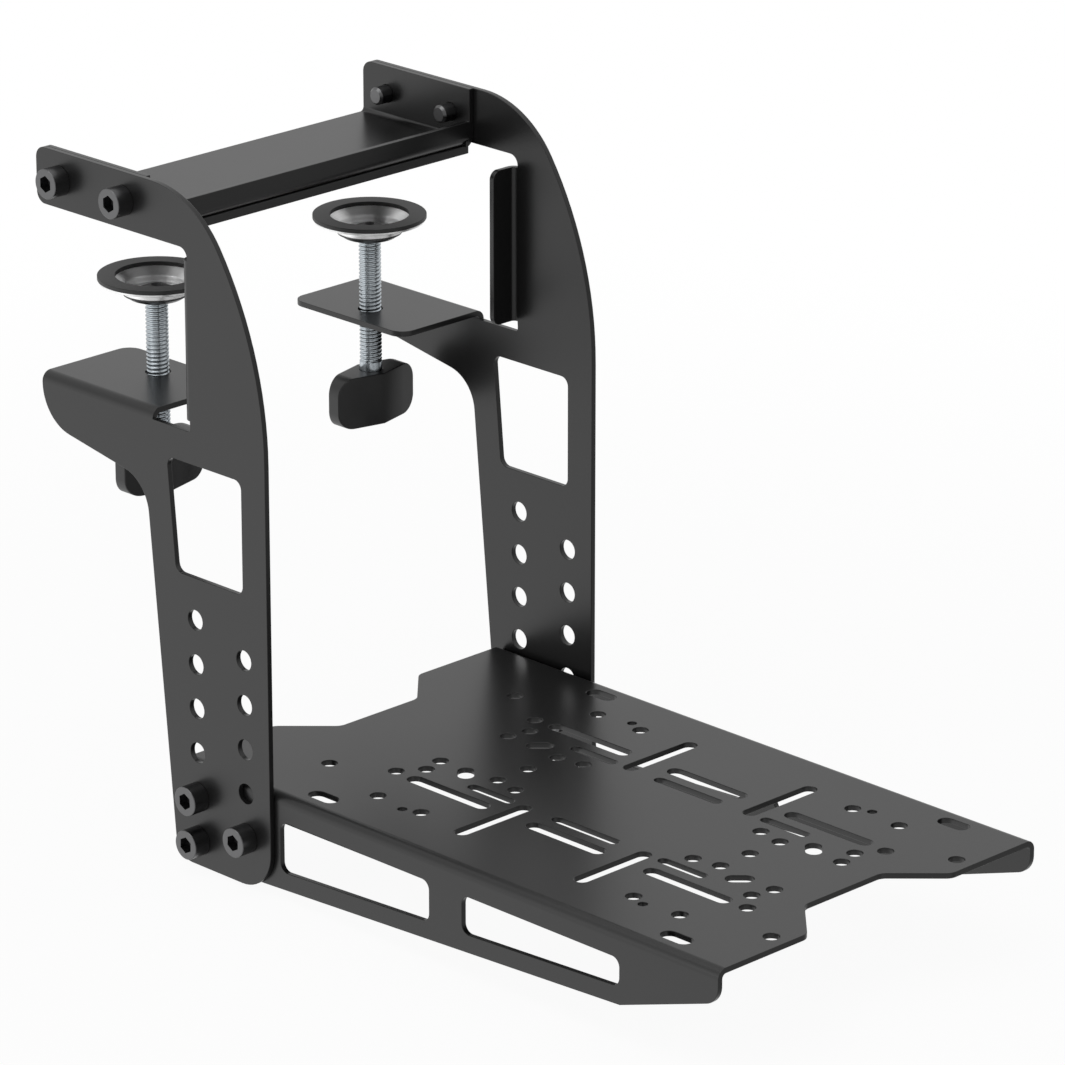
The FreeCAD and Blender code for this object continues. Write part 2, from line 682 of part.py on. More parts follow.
def make_deck(name):
    """A folded channel: flat top, a skirt down each side, and a notch at both ends."""
    body = new_body(name)
    half = "Sizes.rail_gap / 2"
    deepest = "Sizes.deck_skirt_rear"
    channel = new_sketch(body, "XZ_Plane", name + "_channel", "-Sizes.deck_rear")
    add_polygon(channel, [
        (f"-{half}", f"-{deepest}"),
        (f"-{half} + Sizes.gauge", f"-{deepest}"),
        (f"-{half} + Sizes.gauge", "-Sizes.gauge"),
        (f"{half} - Sizes.gauge", "-Sizes.gauge"),
        (f"{half} - Sizes.gauge", f"-{deepest}"),
        (half, f"-{deepest}"),
        (half, "0"),
        (f"-{half}", "0"),
    ])
    pad(body, channel, "Sizes.deck_rear - Sizes.deck_front")
    round_tray_bends(body, name, half, "0", -1)

    # What the skirts lack below their sloping lower edge.
    slope = new_sketch(body, "YZ_Plane", name + "_slope")
    add_polygon(slope, [
        ("Sizes.deck_rear", f"-{deepest}"),
        ("Sizes.deck_skirt_kink", "-Sizes.deck_skirt_kink_drop"),
        ("Sizes.deck_front", "-Sizes.deck_skirt_front_drop"),
        ("Sizes.deck_front - Sizes.gauge", "-Sizes.deck_skirt_front_drop"),
        ("Sizes.deck_front - Sizes.gauge", f"-{deepest} - Sizes.gauge"),
        ("Sizes.deck_rear", f"-{deepest} - Sizes.gauge"),
    ])
    cut_through(body, slope)
    round_edges(body, ACROSS, [("Sizes.deck_front", "-Sizes.deck_skirt_front_drop")],
                "Sizes.deck_skirt_round", name + "_skirt_front")
    round_edges(body, ACROSS, [("Sizes.deck_rear", f"-{deepest}")],
                "Sizes.deck_rear_round", name + "_skirt_rear")

    windows = new_sketch(body, "YZ_Plane", name + "_windows")
    fall = "(Sizes.deck_skirt_rear - Sizes.deck_skirt_kink_drop)"
    run = "(Sizes.deck_rear - Sizes.deck_skirt_kink)"
    corners = []
    for number in range(2):
        step = f"{number} * (Sizes.skirt_window_length + Sizes.skirt_window_gap)"
        start = f"(Sizes.skirt_window_rear - {step})"
        finish = f"({start} - Sizes.skirt_window_length)"
        sills = []
        for along in (start, finish):
            lift = f"{fall} * (Sizes.deck_rear - {along}) / {run}"
            sills.append(f"-{deepest} + Sizes.skirt_strip + {lift}")
        window = [
            (start, "-Sizes.skirt_window_drop"),
            (finish, "-Sizes.skirt_window_drop"),
            (finish, sills[1]),
            (start, sills[0]),
        ]
        add_polygon(windows, window)
        corners.extend(window)
    cut_through(body, windows)
    round_edges(body, ACROSS, corners, "Sizes.skirt_window_round", name + "_window_round")

    notches = new_sketch(body, "XY_Plane", name + "_notches")
    corners = []
    for end, outward in (("Sizes.deck_rear", 1), ("Sizes.deck_front", -1)):
        notch = [
            ("-Sizes.notch_outer_half", end),
            ("-Sizes.notch_inner_half", f"{end} - {outward} * Sizes.notch_depth"),
            ("Sizes.notch_inner_half", f"{end} - {outward} * Sizes.notch_depth"),
            ("Sizes.notch_outer_half", end),
        ]
        beyond = [
            ("Sizes.notch_outer_half", f"{end} + {outward} * Sizes.gauge"),
            ("-Sizes.notch_outer_half", f"{end} + {outward} * Sizes.gauge"),
        ]
        add_polygon(notches, notch + beyond)
        corners.extend(notch)
    cut_through(body, notches)
    round_edges(body, UPWARD, corners, "Sizes.notch_round", name + "_notch_round")

    corners = new_sketch(body, "XY_Plane", name + "_corner_holes")
    for hole in CORNER_HOLES:
        add_circle(corners, f"Sizes.{hole}_across", f"Sizes.{hole}_along", "Sizes.deck_hole")
    add_circle(corners, "Sizes.pilot_across", "Sizes.pilot_along", "Sizes.deck_pilot")
    mirror_cut(body, cut_through(body, corners), ("YZ_Plane", "XZ_Plane"), name + "_hole_copies")
    for slot in CORNER_SLOTS:
        drawing = new_sketch(body, "XY_Plane", f"{name}_{slot}_slot")
        pattern_slot(drawing, slot)
        mirror_cut(body, cut_through(body, drawing), ("YZ_Plane", "XZ_Plane"),
                   f"{name}_{slot}_copies")
    for slot in SIDE_SLOTS:
        drawing = new_sketch(body, "XY_Plane", f"{name}_{slot}_slot")
        pattern_slot(drawing, slot)
        mirror_cut(body, cut_through(body, drawing), ("YZ_Plane",), f"{name}_{slot}_copies")
    middle = new_sketch(body, "XY_Plane", name + "_middle_hole")
    add_circle(middle, "Sizes.middle_across", "Sizes.middle_along", "Sizes.deck_hole")
    mirror_cut(body, cut_through(body, middle), ("XZ_Plane",), name + "_middle_copies")

    bolts = new_sketch(body, "YZ_Plane", name + "_bolt_holes")
    for place in ("deck_bolt_upper", "deck_bolt_lower", "deck_bolt_front"):
        along, up = bolt_places()[place]
        add_circle(bolts, f"{along} - Sizes.deck_middle",
                   f"{up} - Sizes.grid_top + Sizes.deck_drop", "Sizes.tapped_bore")
    cut_through(body, bolts)
    body.setExpression("Placement.Base.y", "Sizes.deck_middle")
    body.setExpression("Placement.Base.z", "Sizes.grid_top - Sizes.deck_drop")
    return body


# Socket head bolts

def make_bolt(name, along, up, sign):
    """A bolt through one side plate, its head outside and its plain end inside."""
    body = new_body(name)
    section = new_sketch(body, "XZ_Plane", name + "_section")
    shank = "Sizes.bolt_shank / 2"
    head = "Sizes.head_width / 2"
    add_polygon(section, [
        ("0", "-Sizes.bolt_length"),
        (f"{shank} - Sizes.bolt_tip_chamfer", "-Sizes.bolt_length"),
        (shank, "-Sizes.bolt_length + Sizes.bolt_tip_chamfer"),
        (shank, "0"),
        (head, "0"),
        (head, "Sizes.head_height - Sizes.head_chamfer"),
        (f"{head} - Sizes.head_chamfer", "Sizes.head_height"),
        ("0", "Sizes.head_height"),
    ])
    spin(body, section)
    socket = new_sketch(body, "XY_Plane", name + "_socket", "Sizes.head_height")
    corners = []
    for number in range(6):
        reach = "Sizes.socket_flats / 2 / cos(30 deg)"
        turn = f"{60 * number} deg"
        corners.append((f"{reach} * cos({turn})", f"{reach} * sin({turn})"))
    add_polygon(socket, corners)
    cut_depth(body, socket, "Sizes.socket_depth")
    body.Placement.Rotation = FreeCAD.Rotation(ALONG, 90 * sign)
    body.setExpression("Placement.Base.x", f"{sign} * (Sizes.rail_gap / 2 + Sizes.gauge)")
    body.setExpression("Placement.Base.y", along)
    body.setExpression("Placement.Base.z", up)
    return body


# Clamp: cup, rubber ring, screw and knob

def place_on_clamp(body, sign):
    body.setExpression("Placement.Base.x", f"{-sign} * ({CLAMP_ACROSS})")


def make_ring(name, sign):
    """Rubber ring on the cup's rim, its upper edges broken a little."""
    body = new_body(name)
    section = new_sketch(body, "XZ_Plane", name + "_section")
    low = "Sizes.ring_top - Sizes.ring_height"
    edge = "Sizes.ring_edge"
    add_polygon(section, [
        ("Sizes.ring_bore / 2", low),
        ("Sizes.ring_width / 2", low),
        ("Sizes.ring_width / 2", f"Sizes.ring_top - {edge}"),
        (f"Sizes.ring_width / 2 - {edge}", "Sizes.ring_top"),
        (f"Sizes.ring_bore / 2 + {edge}", "Sizes.ring_top"),
        ("Sizes.ring_bore / 2", f"Sizes.ring_top - {edge}"),
    ])
    spin(body, section)
    place_on_clamp(body, sign)
    return body


def make_cup(name, sign):
    """Pressed steel cup: a small round foot that flares to a wide rim under the ring."""
    body = new_body(name)
    section = new_sketch(body, "XZ_Plane", name + "_section")
    rim = "(Sizes.ring_top - Sizes.ring_height)"
    foot = f"({rim} - Sizes.cup_height)"
    neck = "(Sizes.screw_neck / 2 + Sizes.neck_gap)"
    foot_out = "(Sizes.cup_foot_width / 2)"
    foot_in = f"({foot_out} - Sizes.cup_wall)"
    mouth_in = "(Sizes.cup_mouth_width / 2)"
    add_polygon(section, [
        (neck, foot),
        (f"{foot_out} - Sizes.cup_foot_round", foot),
        (foot_out, f"{foot} + Sizes.cup_foot_round"),
        (foot_out, f"{foot} + Sizes.cup_foot_height"),
        ("Sizes.cup_rim_width / 2", f"{rim} - Sizes.cup_wall"),
        ("Sizes.cup_rim_width / 2", rim),
        (mouth_in, rim),
        (foot_in, f"{foot} + Sizes.cup_foot_height"),
        (foot_in, f"{foot} + Sizes.cup_floor"),
        (neck, f"{foot} + Sizes.cup_floor"),
    ], {1: "Sizes.cup_foot_round"})
    spin(body, section)
    place_on_clamp(body, sign)
    return body


def make_screw(name, sign):
    """Clamp screw: shank up to the cup, a neck through its floor and a domed head above."""
    body = new_body(name)
    section = new_sketch(body, "XZ_Plane", name + "_section")
    foot = "(Sizes.ring_top - Sizes.ring_height - Sizes.cup_height)"
    shoulder = f"({foot} - Sizes.running_gap)"
    rivet_low = f"({foot} + Sizes.cup_floor + Sizes.running_gap)"
    low = "(Sizes.knob_top - Sizes.knob_bore_depth)"
    shank = "Sizes.screw_width / 2"
    rivet = "Sizes.rivet_width / 2"
    add_polygon(section, [
        ("0", low),
        (shank, low),
        (shank, f"{shoulder} - Sizes.screw_chamfer"),
        (f"{shank} - Sizes.screw_chamfer", shoulder),
        ("Sizes.screw_neck / 2", shoulder),
        ("Sizes.screw_neck / 2", rivet_low),
        (rivet, rivet_low),
        (rivet, f"{rivet_low} + Sizes.rivet_side"),
        ("Sizes.dimple_width / 2", f"{rivet_low} + Sizes.rivet_side + Sizes.rivet_crown"),
        ("0", f"{rivet_low} + Sizes.rivet_side + Sizes.rivet_crown - Sizes.dimple_depth"),
    ], {7: "Sizes.rivet_dome"})
    spin(body, section)
    place_on_clamp(body, sign)
    return body


def make_knob(name, sign):
    """Two-winged knob: thick at the hub, thinner at the wing ends, which are rounded off."""
    body = new_body(name)
    plan = new_sketch(body, "XY_Plane", name + "_plan", "Sizes.knob_top - Sizes.knob_height")
    add_polygon(plan, [
        ("-Sizes.knob_half_length", "-Sizes.knob_end_half"),
        ("0", "-Sizes.knob_hub_half"),
        ("Sizes.knob_half_length", "-Sizes.knob_end_half"),
        ("Sizes.knob_half_length", "Sizes.knob_end_half"),
        ("0", "Sizes.knob_hub_half"),
        ("-Sizes.knob_half_length", "Sizes.knob_end_half"),
    ])
    pad(body, plan, "Sizes.knob_height")
    places = []
    for across in ("-Sizes.knob_half_length", "Sizes.knob_half_length"):
        for up in ("Sizes.knob_top", "Sizes.knob_top - Sizes.knob_height"):
            places.append((across, up))
    round_edges(body, ALONG, places, "Sizes.knob_end_round", name + "_wing_round")
    bore = new_sketch(body, "XY_Plane", name + "_bore", "Sizes.knob_top")
    add_circle(bore, "0", "0", "Sizes.screw_width")
    cut_depth(body, bore, "Sizes.knob_bore_depth")
    place_on_clamp(body, sign)
    return body


def mirrored(source, name):
    copy = doc.addObject("Part::Mirroring", name)
    copy.Source = source
    copy.Normal = ACROSS
    copy.Label = name
    doc.recompute()
    return copy


pieces = []
left_plate = make_side_plate("left_side_plate")
pieces.append(left_plate)
pieces.append(mirrored(left_plate, "right_side_plate"))
pieces.append(make_crossbar("crossbar"))
pieces.append(make_rubber_strip("rubber_strip"))
pieces.append(make_deck("wheel_deck"))
for side, sign in (("left", -1), ("right", 1)):
    for place, (along, up) in bolt_places().items():
        pieces.append(make_bolt(f"{side}_{place}", along, up, sign))
    pieces.append(make_ring(side + "_cup_ring", sign))
    pieces.append(make_cup(side + "_clamp_cup", sign))
    pieces.append(make_screw(side + "_clamp_screw", sign))
    pieces.append(make_knob(side + "_clamp_knob", sign))
doc.recompute()

for item in doc.Objects:
    if "Invalid" in item.State or "Error" in item.State:
        raise RuntimeError(item.Name + " did not compute")
for piece in pieces:
    if piece.Shape.isNull() or not piece.Shape.isValid():
        raise RuntimeError(piece.Label + " has no valid shape")

os.makedirs("parts", exist_ok=True)
for piece in pieces:
    piece.Shape.exportStep(os.path.join("parts", piece.Label + ".step"))
    box = piece.Shape.BoundBox
    print(f"{piece.Label:24s} solids {len(piece.Shape.Solids)} volume {piece.Shape.Volume:10.1f} "
          f"x {box.XMin:.1f} {box.XMax:.1f} y {box.YMin:.1f} {box.YMax:.1f} "
          f"z {box.ZMin:.1f} {box.ZMax:.1f}")
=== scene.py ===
# %% [markdown]
# # A desk mount for a steering wheel base
# The mount is two bent steel plates with a crossbar over the desk, a perforated deck for the
# wheel base, and two screw clamps that press up under the desk. The solids come from the
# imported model, in metres. Most of them already have the right shape, so this lesson is about
# what makes them look real: small broken edges, cut threads, turned metal and good finishes.

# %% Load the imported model
import math

import bmesh
import bpy
import numpy as np
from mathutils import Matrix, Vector


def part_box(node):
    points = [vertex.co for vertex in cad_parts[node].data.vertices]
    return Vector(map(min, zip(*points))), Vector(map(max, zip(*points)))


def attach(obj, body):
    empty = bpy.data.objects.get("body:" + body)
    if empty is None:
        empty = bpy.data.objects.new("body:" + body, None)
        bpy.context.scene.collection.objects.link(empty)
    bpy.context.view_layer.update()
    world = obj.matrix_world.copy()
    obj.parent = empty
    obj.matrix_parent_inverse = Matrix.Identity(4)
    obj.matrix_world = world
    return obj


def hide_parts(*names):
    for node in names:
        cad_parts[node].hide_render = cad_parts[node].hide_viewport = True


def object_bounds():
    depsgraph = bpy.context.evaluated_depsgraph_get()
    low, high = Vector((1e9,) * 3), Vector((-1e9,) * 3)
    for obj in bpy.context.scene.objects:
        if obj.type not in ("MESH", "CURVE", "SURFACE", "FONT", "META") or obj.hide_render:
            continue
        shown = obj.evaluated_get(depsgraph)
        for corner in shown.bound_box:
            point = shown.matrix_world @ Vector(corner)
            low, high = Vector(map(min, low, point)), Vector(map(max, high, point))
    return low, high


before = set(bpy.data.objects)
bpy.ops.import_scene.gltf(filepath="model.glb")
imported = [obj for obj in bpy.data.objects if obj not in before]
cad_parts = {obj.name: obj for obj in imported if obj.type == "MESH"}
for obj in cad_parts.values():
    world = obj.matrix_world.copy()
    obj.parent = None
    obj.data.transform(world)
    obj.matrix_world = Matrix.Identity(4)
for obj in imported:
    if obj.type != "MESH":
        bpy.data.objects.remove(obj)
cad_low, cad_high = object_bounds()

MM = 0.001
scene = bpy.context.scene
print("size mm", [round((high - low) / MM, 1) for low, high in zip(cad_low, cad_high)])

# %% [markdown]
# ## Camera
# The picture was taken from far away with a long lens, so the two plates look almost the same
# size. The direction and the distance were worked out from the height holes, which are 20 mm
# apart on both plates. The lens is for a square picture, 1065 pixels each way. The Standard
# view shows each colour as it comes out, with no film look added.

# %% Camera
LENS = 207.4228
SENSOR = 36.0
EYE = Vector((-1.691181, -1.868921, 0.756220))
ELEVATION = 19.9765
AZIMUTH = -44.7589
NEAREST, FURTHEST = 0.1, 40.0


def put_in_scene(name, data):
    made = bpy.data.objects.new(name, data)
    scene.collection.objects.link(made)
    return made


lens = bpy.data.cameras.new("camera")
lens.lens = LENS
lens.sensor_width = SENSOR
lens.sensor_fit = "HORIZONTAL"
lens.clip_start = NEAREST
lens.clip_end = FURTHEST
camera = put_in_scene("camera", lens)
camera.location = EYE
camera.rotation_euler = (math.radians(90 - ELEVATION), 0, math.radians(AZIMUTH))
scene.camera = camera
scene.view_settings.view_transform = "Standard"
print("camera", [round(value, 3) for value in EYE])

# %% [markdown]
# ## Helpers for nodes
# Every finish and every repeated part below is a tree of nodes. The first helpers add a node,
# set its values and draw a link, so that each tree reads as a short list. A Math node does one
# operation, so a formula takes many. An Amount is a node's output that Python can add or
# multiply as it does a number, and it adds the Math node that does the same in the tree.

# %% Nodes and links
def feed(tree, value, socket):
    """Links an output to a socket, or sets the socket to a plain value."""
    if isinstance(value, Amount):
        value = value.socket
    if isinstance(value, bpy.types.NodeSocket):
        tree.links.new(value, socket)
    else:
        socket.default_value = value


def feed_all(tree, node, *values):
    """Fills a node's first sockets in their order."""
    for value, socket in zip(values, node.inputs):
        feed(tree, value, socket)
    return node


def add_node(tree, kind, settings=None, **values):
    """Adds one node. Settings are its own properties, values go to sockets by name."""
    made = tree.nodes.new(kind)
    for name, setting in (settings or {}).items():
        setattr(made, name, setting)
    for name, value in values.items():
        wanted = name.replace("_", " ")
        socket = next(s for s in made.inputs if s.name.lower() == wanted.lower())
        feed(tree, value, socket)
    return made


print("node helpers ready")

# %% Amounts in formulas
def work_out(tree, operation, *values, clamp=False):
    """Adds one Math node; its values may be numbers or outputs."""
    made = add_node(tree, "ShaderNodeMath", {"operation": operation, "use_clamp": clamp})
    return Amount(tree, feed_all(tree, made, *values).outputs[0])


class Amount:
    """A node's output that a formula can use; each operation adds one Math node."""

    def __init__(self, tree, socket):
        self.tree = tree
        self.socket = socket

    def step(self, operation, *others, clamp=False):
        return work_out(self.tree, operation, self, *others, clamp=clamp)

    def __add__(self, other):
        return self.step("ADD", other)

    def __sub__(self, other):
        return self.step("SUBTRACT", other)

    def __mul__(self, other):
        return self.step("MULTIPLY", other)

    def __truediv__(self, other):
        return self.step("DIVIDE", other)

    def __rtruediv__(self, number):
        return work_out(self.tree, "DIVIDE", number, self)


print("formula helpers ready")

# %% Smooth ranges and mixed shaders
def smooth_range(tree, value, limits, results):
    """Goes smoothly from the first result to the second between the two limits."""
    made = add_node(tree, "ShaderNodeMapRange", {"interpolation_type": "SMOOTHSTEP"})
    return Amount(tree, feed_all(tree, made, value, *limits, *results).outputs[0])


def mixed_shader(tree, share, first, second):
    """Shows the first shader where the share is 0 and the second where it is 1."""
    return feed_all(tree, tree.nodes.new("ShaderNodeMixShader"), share, first, second).outputs[0]


print("mixing helpers ready")

# %% [markdown]
# ## Studio
# The picture is a plain studio shot on white. The camera sees white all round. A glossy ray
# sees a room that is nearly as white, because the black coat gets nearly all its grey from the
# room that it mirrors. The room has three soft regions of its own: the floor on the left, where
# the light falls, is brighter, the floor on the right is duller, and behind the camera it is
# dim, because bright metal looks like metal only when it has something dark to reflect. The
# light that falls on the mount is lower, so that a colour comes out about as it is written.

# %% World
WHITE = (1, 1, 1, 1)
ROOM_LIGHT = 0.50
ROOM_SHINE = 0.86
# Each region: the way to its middle, the angles where it ends and where it is full, in
# degrees, and how much shine it adds there.
REGIONS = [
    ((-0.66, 0.67, -0.34), (45, 15), 0.38),
    ((0.66, -0.67, -0.34), (50, 20), -0.40),
    ((-0.62, -0.65, 0.44), (62, 25), -0.25),
]


def room_shine(tree):
    """How bright the room looks in a mirror, by the way that the mirrored ray goes."""
    way = tree.nodes.new("ShaderNodeTexCoord").outputs["Generated"]
    shine = ROOM_SHINE
    for middle, angles, added in REGIONS:
        toward = add_node(tree, "ShaderNodeVectorMath", {"operation": "DOT_PRODUCT"})
        feed_all(tree, toward, way, Vector(middle).normalized())
        limits = [math.cos(math.radians(angle)) for angle in angles]
        shine = smooth_range(tree, toward.outputs["Value"], limits, (0.0, added)) + shine
    return shine


def glow(tree, strength):
    return add_node(tree, "ShaderNodeBackground", Color=WHITE, Strength=strength).outputs[0]


def make_world():
    world = bpy.data.worlds.new("studio")
    world.use_nodes = True
    world.cycles.sampling_method = "NONE"
    tree = world.node_tree
    tree.nodes.clear()
    rays = tree.nodes.new("ShaderNodeLightPath").outputs
    seen = work_out(tree, "ADD", rays["Is Camera Ray"], rays["Is Transmission Ray"], clamp=True)
    room = mixed_shader(tree, rays["Is Glossy Ray"], glow(tree, ROOM_LIGHT),
                        glow(tree, room_shine(tree)))
    shown = mixed_shader(tree, seen, room, glow(tree, 1.0))
    add_node(tree, "ShaderNodeOutputWorld", Surface=shown)
    scene.world = world
    return len(tree.nodes)


print("world nodes", make_world())

# %% Lamps
LAMPS_AIM = (0, -0.1, -0.15)
# Each lamp: its name, its place, its size each way in metres and its power in watts.
LAMPS = [
    ("top_light", (-0.55, 0.05, 1.5), 1.3, 9),
    ("left_light", (-1.6, 0.35, 0.35), 0.9, 3),
]
for name, place, size, power in LAMPS:
    light = bpy.data.lights.new(name, "AREA")
    light.shape = "SQUARE"
    light.size = size
    light.energy = power
    lamp = put_in_scene(name, light)
    lamp.location = place
    aim = Vector(LAMPS_AIM) - Vector(place)
    lamp.rotation_euler = aim.to_track_quat("-Z", "Y").to_euler()
    print(name, "power", power)

# %% [markdown]
# ## Floor
# A white sheet below the mount. For the camera it is nearly all glowing white paper, and the
# small rest is lit by the lamps, so that a faint shadow stays under the mount. Further out
# that rest fades away, and the sheet's own edge can't be seen.

# %% Floor
FLOOR_GAP = 2.0 * MM
FLOOR_REACH = 6.0
PAPER_COLOUR = (0.8, 0.8, 0.8, 1)
SHADOW_SHARE = 0.06
SHADOW_REACH = (0.35, 0.90)


def paper_finish():
    material = bpy.data.materials.new("white_paper")
    material.use_nodes = True
    tree = material.node_tree
    tree.nodes.clear()
    distance = add_node(tree, "ShaderNodeVectorMath", {"operation": "LENGTH"})
    feed_all(tree, distance, tree.nodes.new("ShaderNodeTexCoord").outputs["Object"])
    fade = smooth_range(tree, distance.outputs["Value"], SHADOW_REACH, (1.0 - SHADOW_SHARE, 1.0))
    rays = tree.nodes.new("ShaderNodeLightPath").outputs
    paper = add_node(tree, "ShaderNodeBsdfDiffuse", Color=PAPER_COLOUR).outputs[0]
    white = add_node(tree, "ShaderNodeEmission", Strength=1.0).outputs[0]
    shown = mixed_shader(tree, fade * rays["Is Camera Ray"], paper, white)
    add_node(tree, "ShaderNodeOutputMaterial", Surface=shown)
    return material


def make_floor(height):
    mesh = bpy.data.meshes.new("floor")
    corners = [(across * FLOOR_REACH, along * FLOOR_REACH, height)
               for across, along in ((-1, -1), (1, -1), (1, 1), (-1, 1))]
    mesh.from_pydata(corners, [], [(0, 1, 2, 3)])
    mesh.materials.append(paper_finish())
    floor = put_in_scene("floor", mesh)
    floor.visible_glossy = False


make_floor(cad_low[2] - FLOOR_GAP)
print("floor at", round(cad_low[2] - FLOOR_GAP, 4))

# %% [markdown]
# ## Shared effects
# Three effects are used by more than one finish, so each is a node group with its own named
# values. **Fine grain** is the tiny orange-peel relief of powder coat, rubber and moulded
# plastic, with a few broader, fainter patches, because no factory finish is perfectly even.
# **Dust** puts a few pale specks on upward faces. **Turning marks** are the fine circles that
# a lathe leaves, drawn round each clamp's upright axis; the two clamps are mirror images, so
# one formula serves both.

# %% Group: fine grain
FLOAT = "NodeSocketFloat"


def new_tree(kind, name, inputs, outputs):
    """A tree with named inputs and outputs; also returns what it is given, and its exit."""
    tree = bpy.data.node_groups.new(name, kind)
    for label, socket_kind, value in inputs:
        socket = tree.interface.new_socket(name=label, in_out="INPUT", socket_type=socket_kind)
        if value is not None:
            socket.default_value = value
    for label, socket_kind in outputs:
        tree.interface.new_socket(name=label, in_out="OUTPUT", socket_type=socket_kind)
    entry = tree.nodes.new("NodeGroupInput")
    given = {socket.name: Amount(tree, socket) for socket in entry.outputs}
    return tree, given, tree.nodes.new("NodeGroupOutput")


def new_effect(name, values, outputs):
    return new_tree("ShaderNodeTree", name, [(label, FLOAT, value) for label, value in values],
                    [(label, FLOAT) for label in outputs])


def noise(tree, where, lump, detail, rough):
    """Noise whose largest lumps are about as wide as the size given."""
    made = add_node(tree, "ShaderNodeTexNoise", Vector=where, Scale=1.0 / lump, Detail=detail,
                    Roughness=rough)
    return Amount(tree, made.outputs[0])


grain, given, grain_exit = new_effect(
    "fine_grain", [("Grain Size", 0.6 * MM), ("Patch Size", 50 * MM), ("Patch Strength", 0.1)],
    ["Height", "Patches"])
where = grain.nodes.new("ShaderNodeTexCoord").outputs["Object"]
bumps = noise(grain, where, given["Grain Size"], detail=2.0, rough=0.6)
patches = noise(grain, where, given["Patch Size"], detail=3.0, rough=0.55)
feed_all(grain, grain_exit, bumps, (patches - 0.5) * given["Patch Strength"] + 1.0)
print("group", grain.name, "nodes", len(grain.nodes))

# %% Group: dust
# A speck's radius as a share of the speck size, and how far upward a face has to look.
SPECK_SHARE = 0.045
UPWARD = 0.6

dust, given, dust_exit = new_effect(
    "dust", [("Amount", 0.5), ("Speck Size", 4 * MM)], ["Mask"])
where = dust.nodes.new("ShaderNodeTexCoord").outputs["Object"]
specks = add_node(dust, "ShaderNodeTexVoronoi", Vector=where, Scale=1.0 / given["Speck Size"])
on_speck = work_out(dust, "LESS_THAN", specks.outputs["Distance"], SPECK_SHARE)
facing = add_node(dust, "ShaderNodeSeparateXYZ",
                  Vector=dust.nodes.new("ShaderNodeNewGeometry").outputs["Normal"])
upward = work_out(dust, "GREATER_THAN", facing.outputs["Z"], UPWARD)
feed_all(dust, dust_exit, on_speck * upward * given["Amount"])
print("group", dust.name, "nodes", len(dust.nodes))

# %% Group: turning marks
screw_low, screw_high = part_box("right_clamp_screw")
CLAMP_X = (screw_low[0] + screw_high[0]) / 2

turning, given, turning_exit = new_effect(
    "turning_marks", [("Clamp Offset", CLAMP_X), ("Mark Spacing", 0.5 * MM)],
    ["Height", "Shade"])
where = add_node(turning, "ShaderNodeSeparateXYZ",
                 Vector=turning.nodes.new("ShaderNodeTexCoord").outputs["Object"]).outputs
across = work_out(turning, "ABSOLUTE", where["X"]) - given["Clamp Offset"]
along = Amount(turning, where["Y"])
radius = (across * across + along * along).step("SQRT")
ring_point = add_node(turning, "ShaderNodeCombineXYZ", X=radius + where["Z"], Y=radius)
marks = noise(turning, ring_point.outputs[0], given["Mark Spacing"], detail=3.0, rough=0.7)
# The shade stays between 0.85 and 1.15, so on average it leaves a colour as it is.
feed_all(turning, turning_exit, marks, marks * 0.3 + 0.85)
print("clamp axis at x mm", round(CLAMP_X / MM, 2))

# %% [markdown]
# ## Finishes
# The sheet parts wear a semi-matt black powder coat: nearly black by itself, it looks grey
# because it softly mirrors the white room. The strip and the rings are duller rubber. The bolts
# are black-oxide steel, a dark metal with a little oil on it. The cups' feet are a separate
# piece in the same dark finish, which makes a dark band round the bottom of each cup. The cups
# are bright zinc over turned steel, which draws each reflection out across its fine circles. The
# screws are a duller, bluish zinc, and the knobs are satin moulded plastic.

# %% Finish builder
DUST_COLOUR = (0.25, 0.25, 0.26, 1)
# A Mix node keeps one set of sockets for each kind of value; these are for colours.
SHARE_IN, FIRST_IN, SECOND_IN, COLOUR_OUT = 0, 6, 7, 2


def start_finish(name):
    material = bpy.data.materials.new(name)
    material.use_nodes = True
    tree = material.node_tree
    return material, tree, tree.nodes["Principled BSDF"]


def place_effect(tree, effect, **values):
    made = tree.nodes.new("ShaderNodeGroup")
    made.node_tree = effect
    for name, value in values.items():
        made.inputs[name.replace("_", " ")].default_value = value
    return made.outputs


def mixed_colour(tree, share, first, second, blend="MIX"):
    made = add_node(tree, "ShaderNodeMix", {"data_type": "RGBA", "blend_type": blend})
    feed(tree, share, made.inputs[SHARE_IN])
    feed(tree, first, made.inputs[FIRST_IN])
    feed(tree, second, made.inputs[SECOND_IN])
    return made.outputs[COLOUR_OUT]


def scaled_colour(tree, colour, shade):
    """A colour times a shade that stays near one."""
    return mixed_colour(tree, 1.0, (*colour, 1), shade, "MULTIPLY")


def patchy_roughness(tree, shader, patches, rough, swing):
    """Roughness that drifts a little from patch to patch."""
    feed(tree, (Amount(tree, patches) - 1.0) * swing + rough, shader.inputs["Roughness"])


def relief(tree, shader, height, depth, strength):
    bump = add_node(tree, "ShaderNodeBump", Distance=depth, Strength=strength, Height=height)
    feed(tree, bump.outputs[0], shader.inputs["Normal"])


print("finish builder ready")

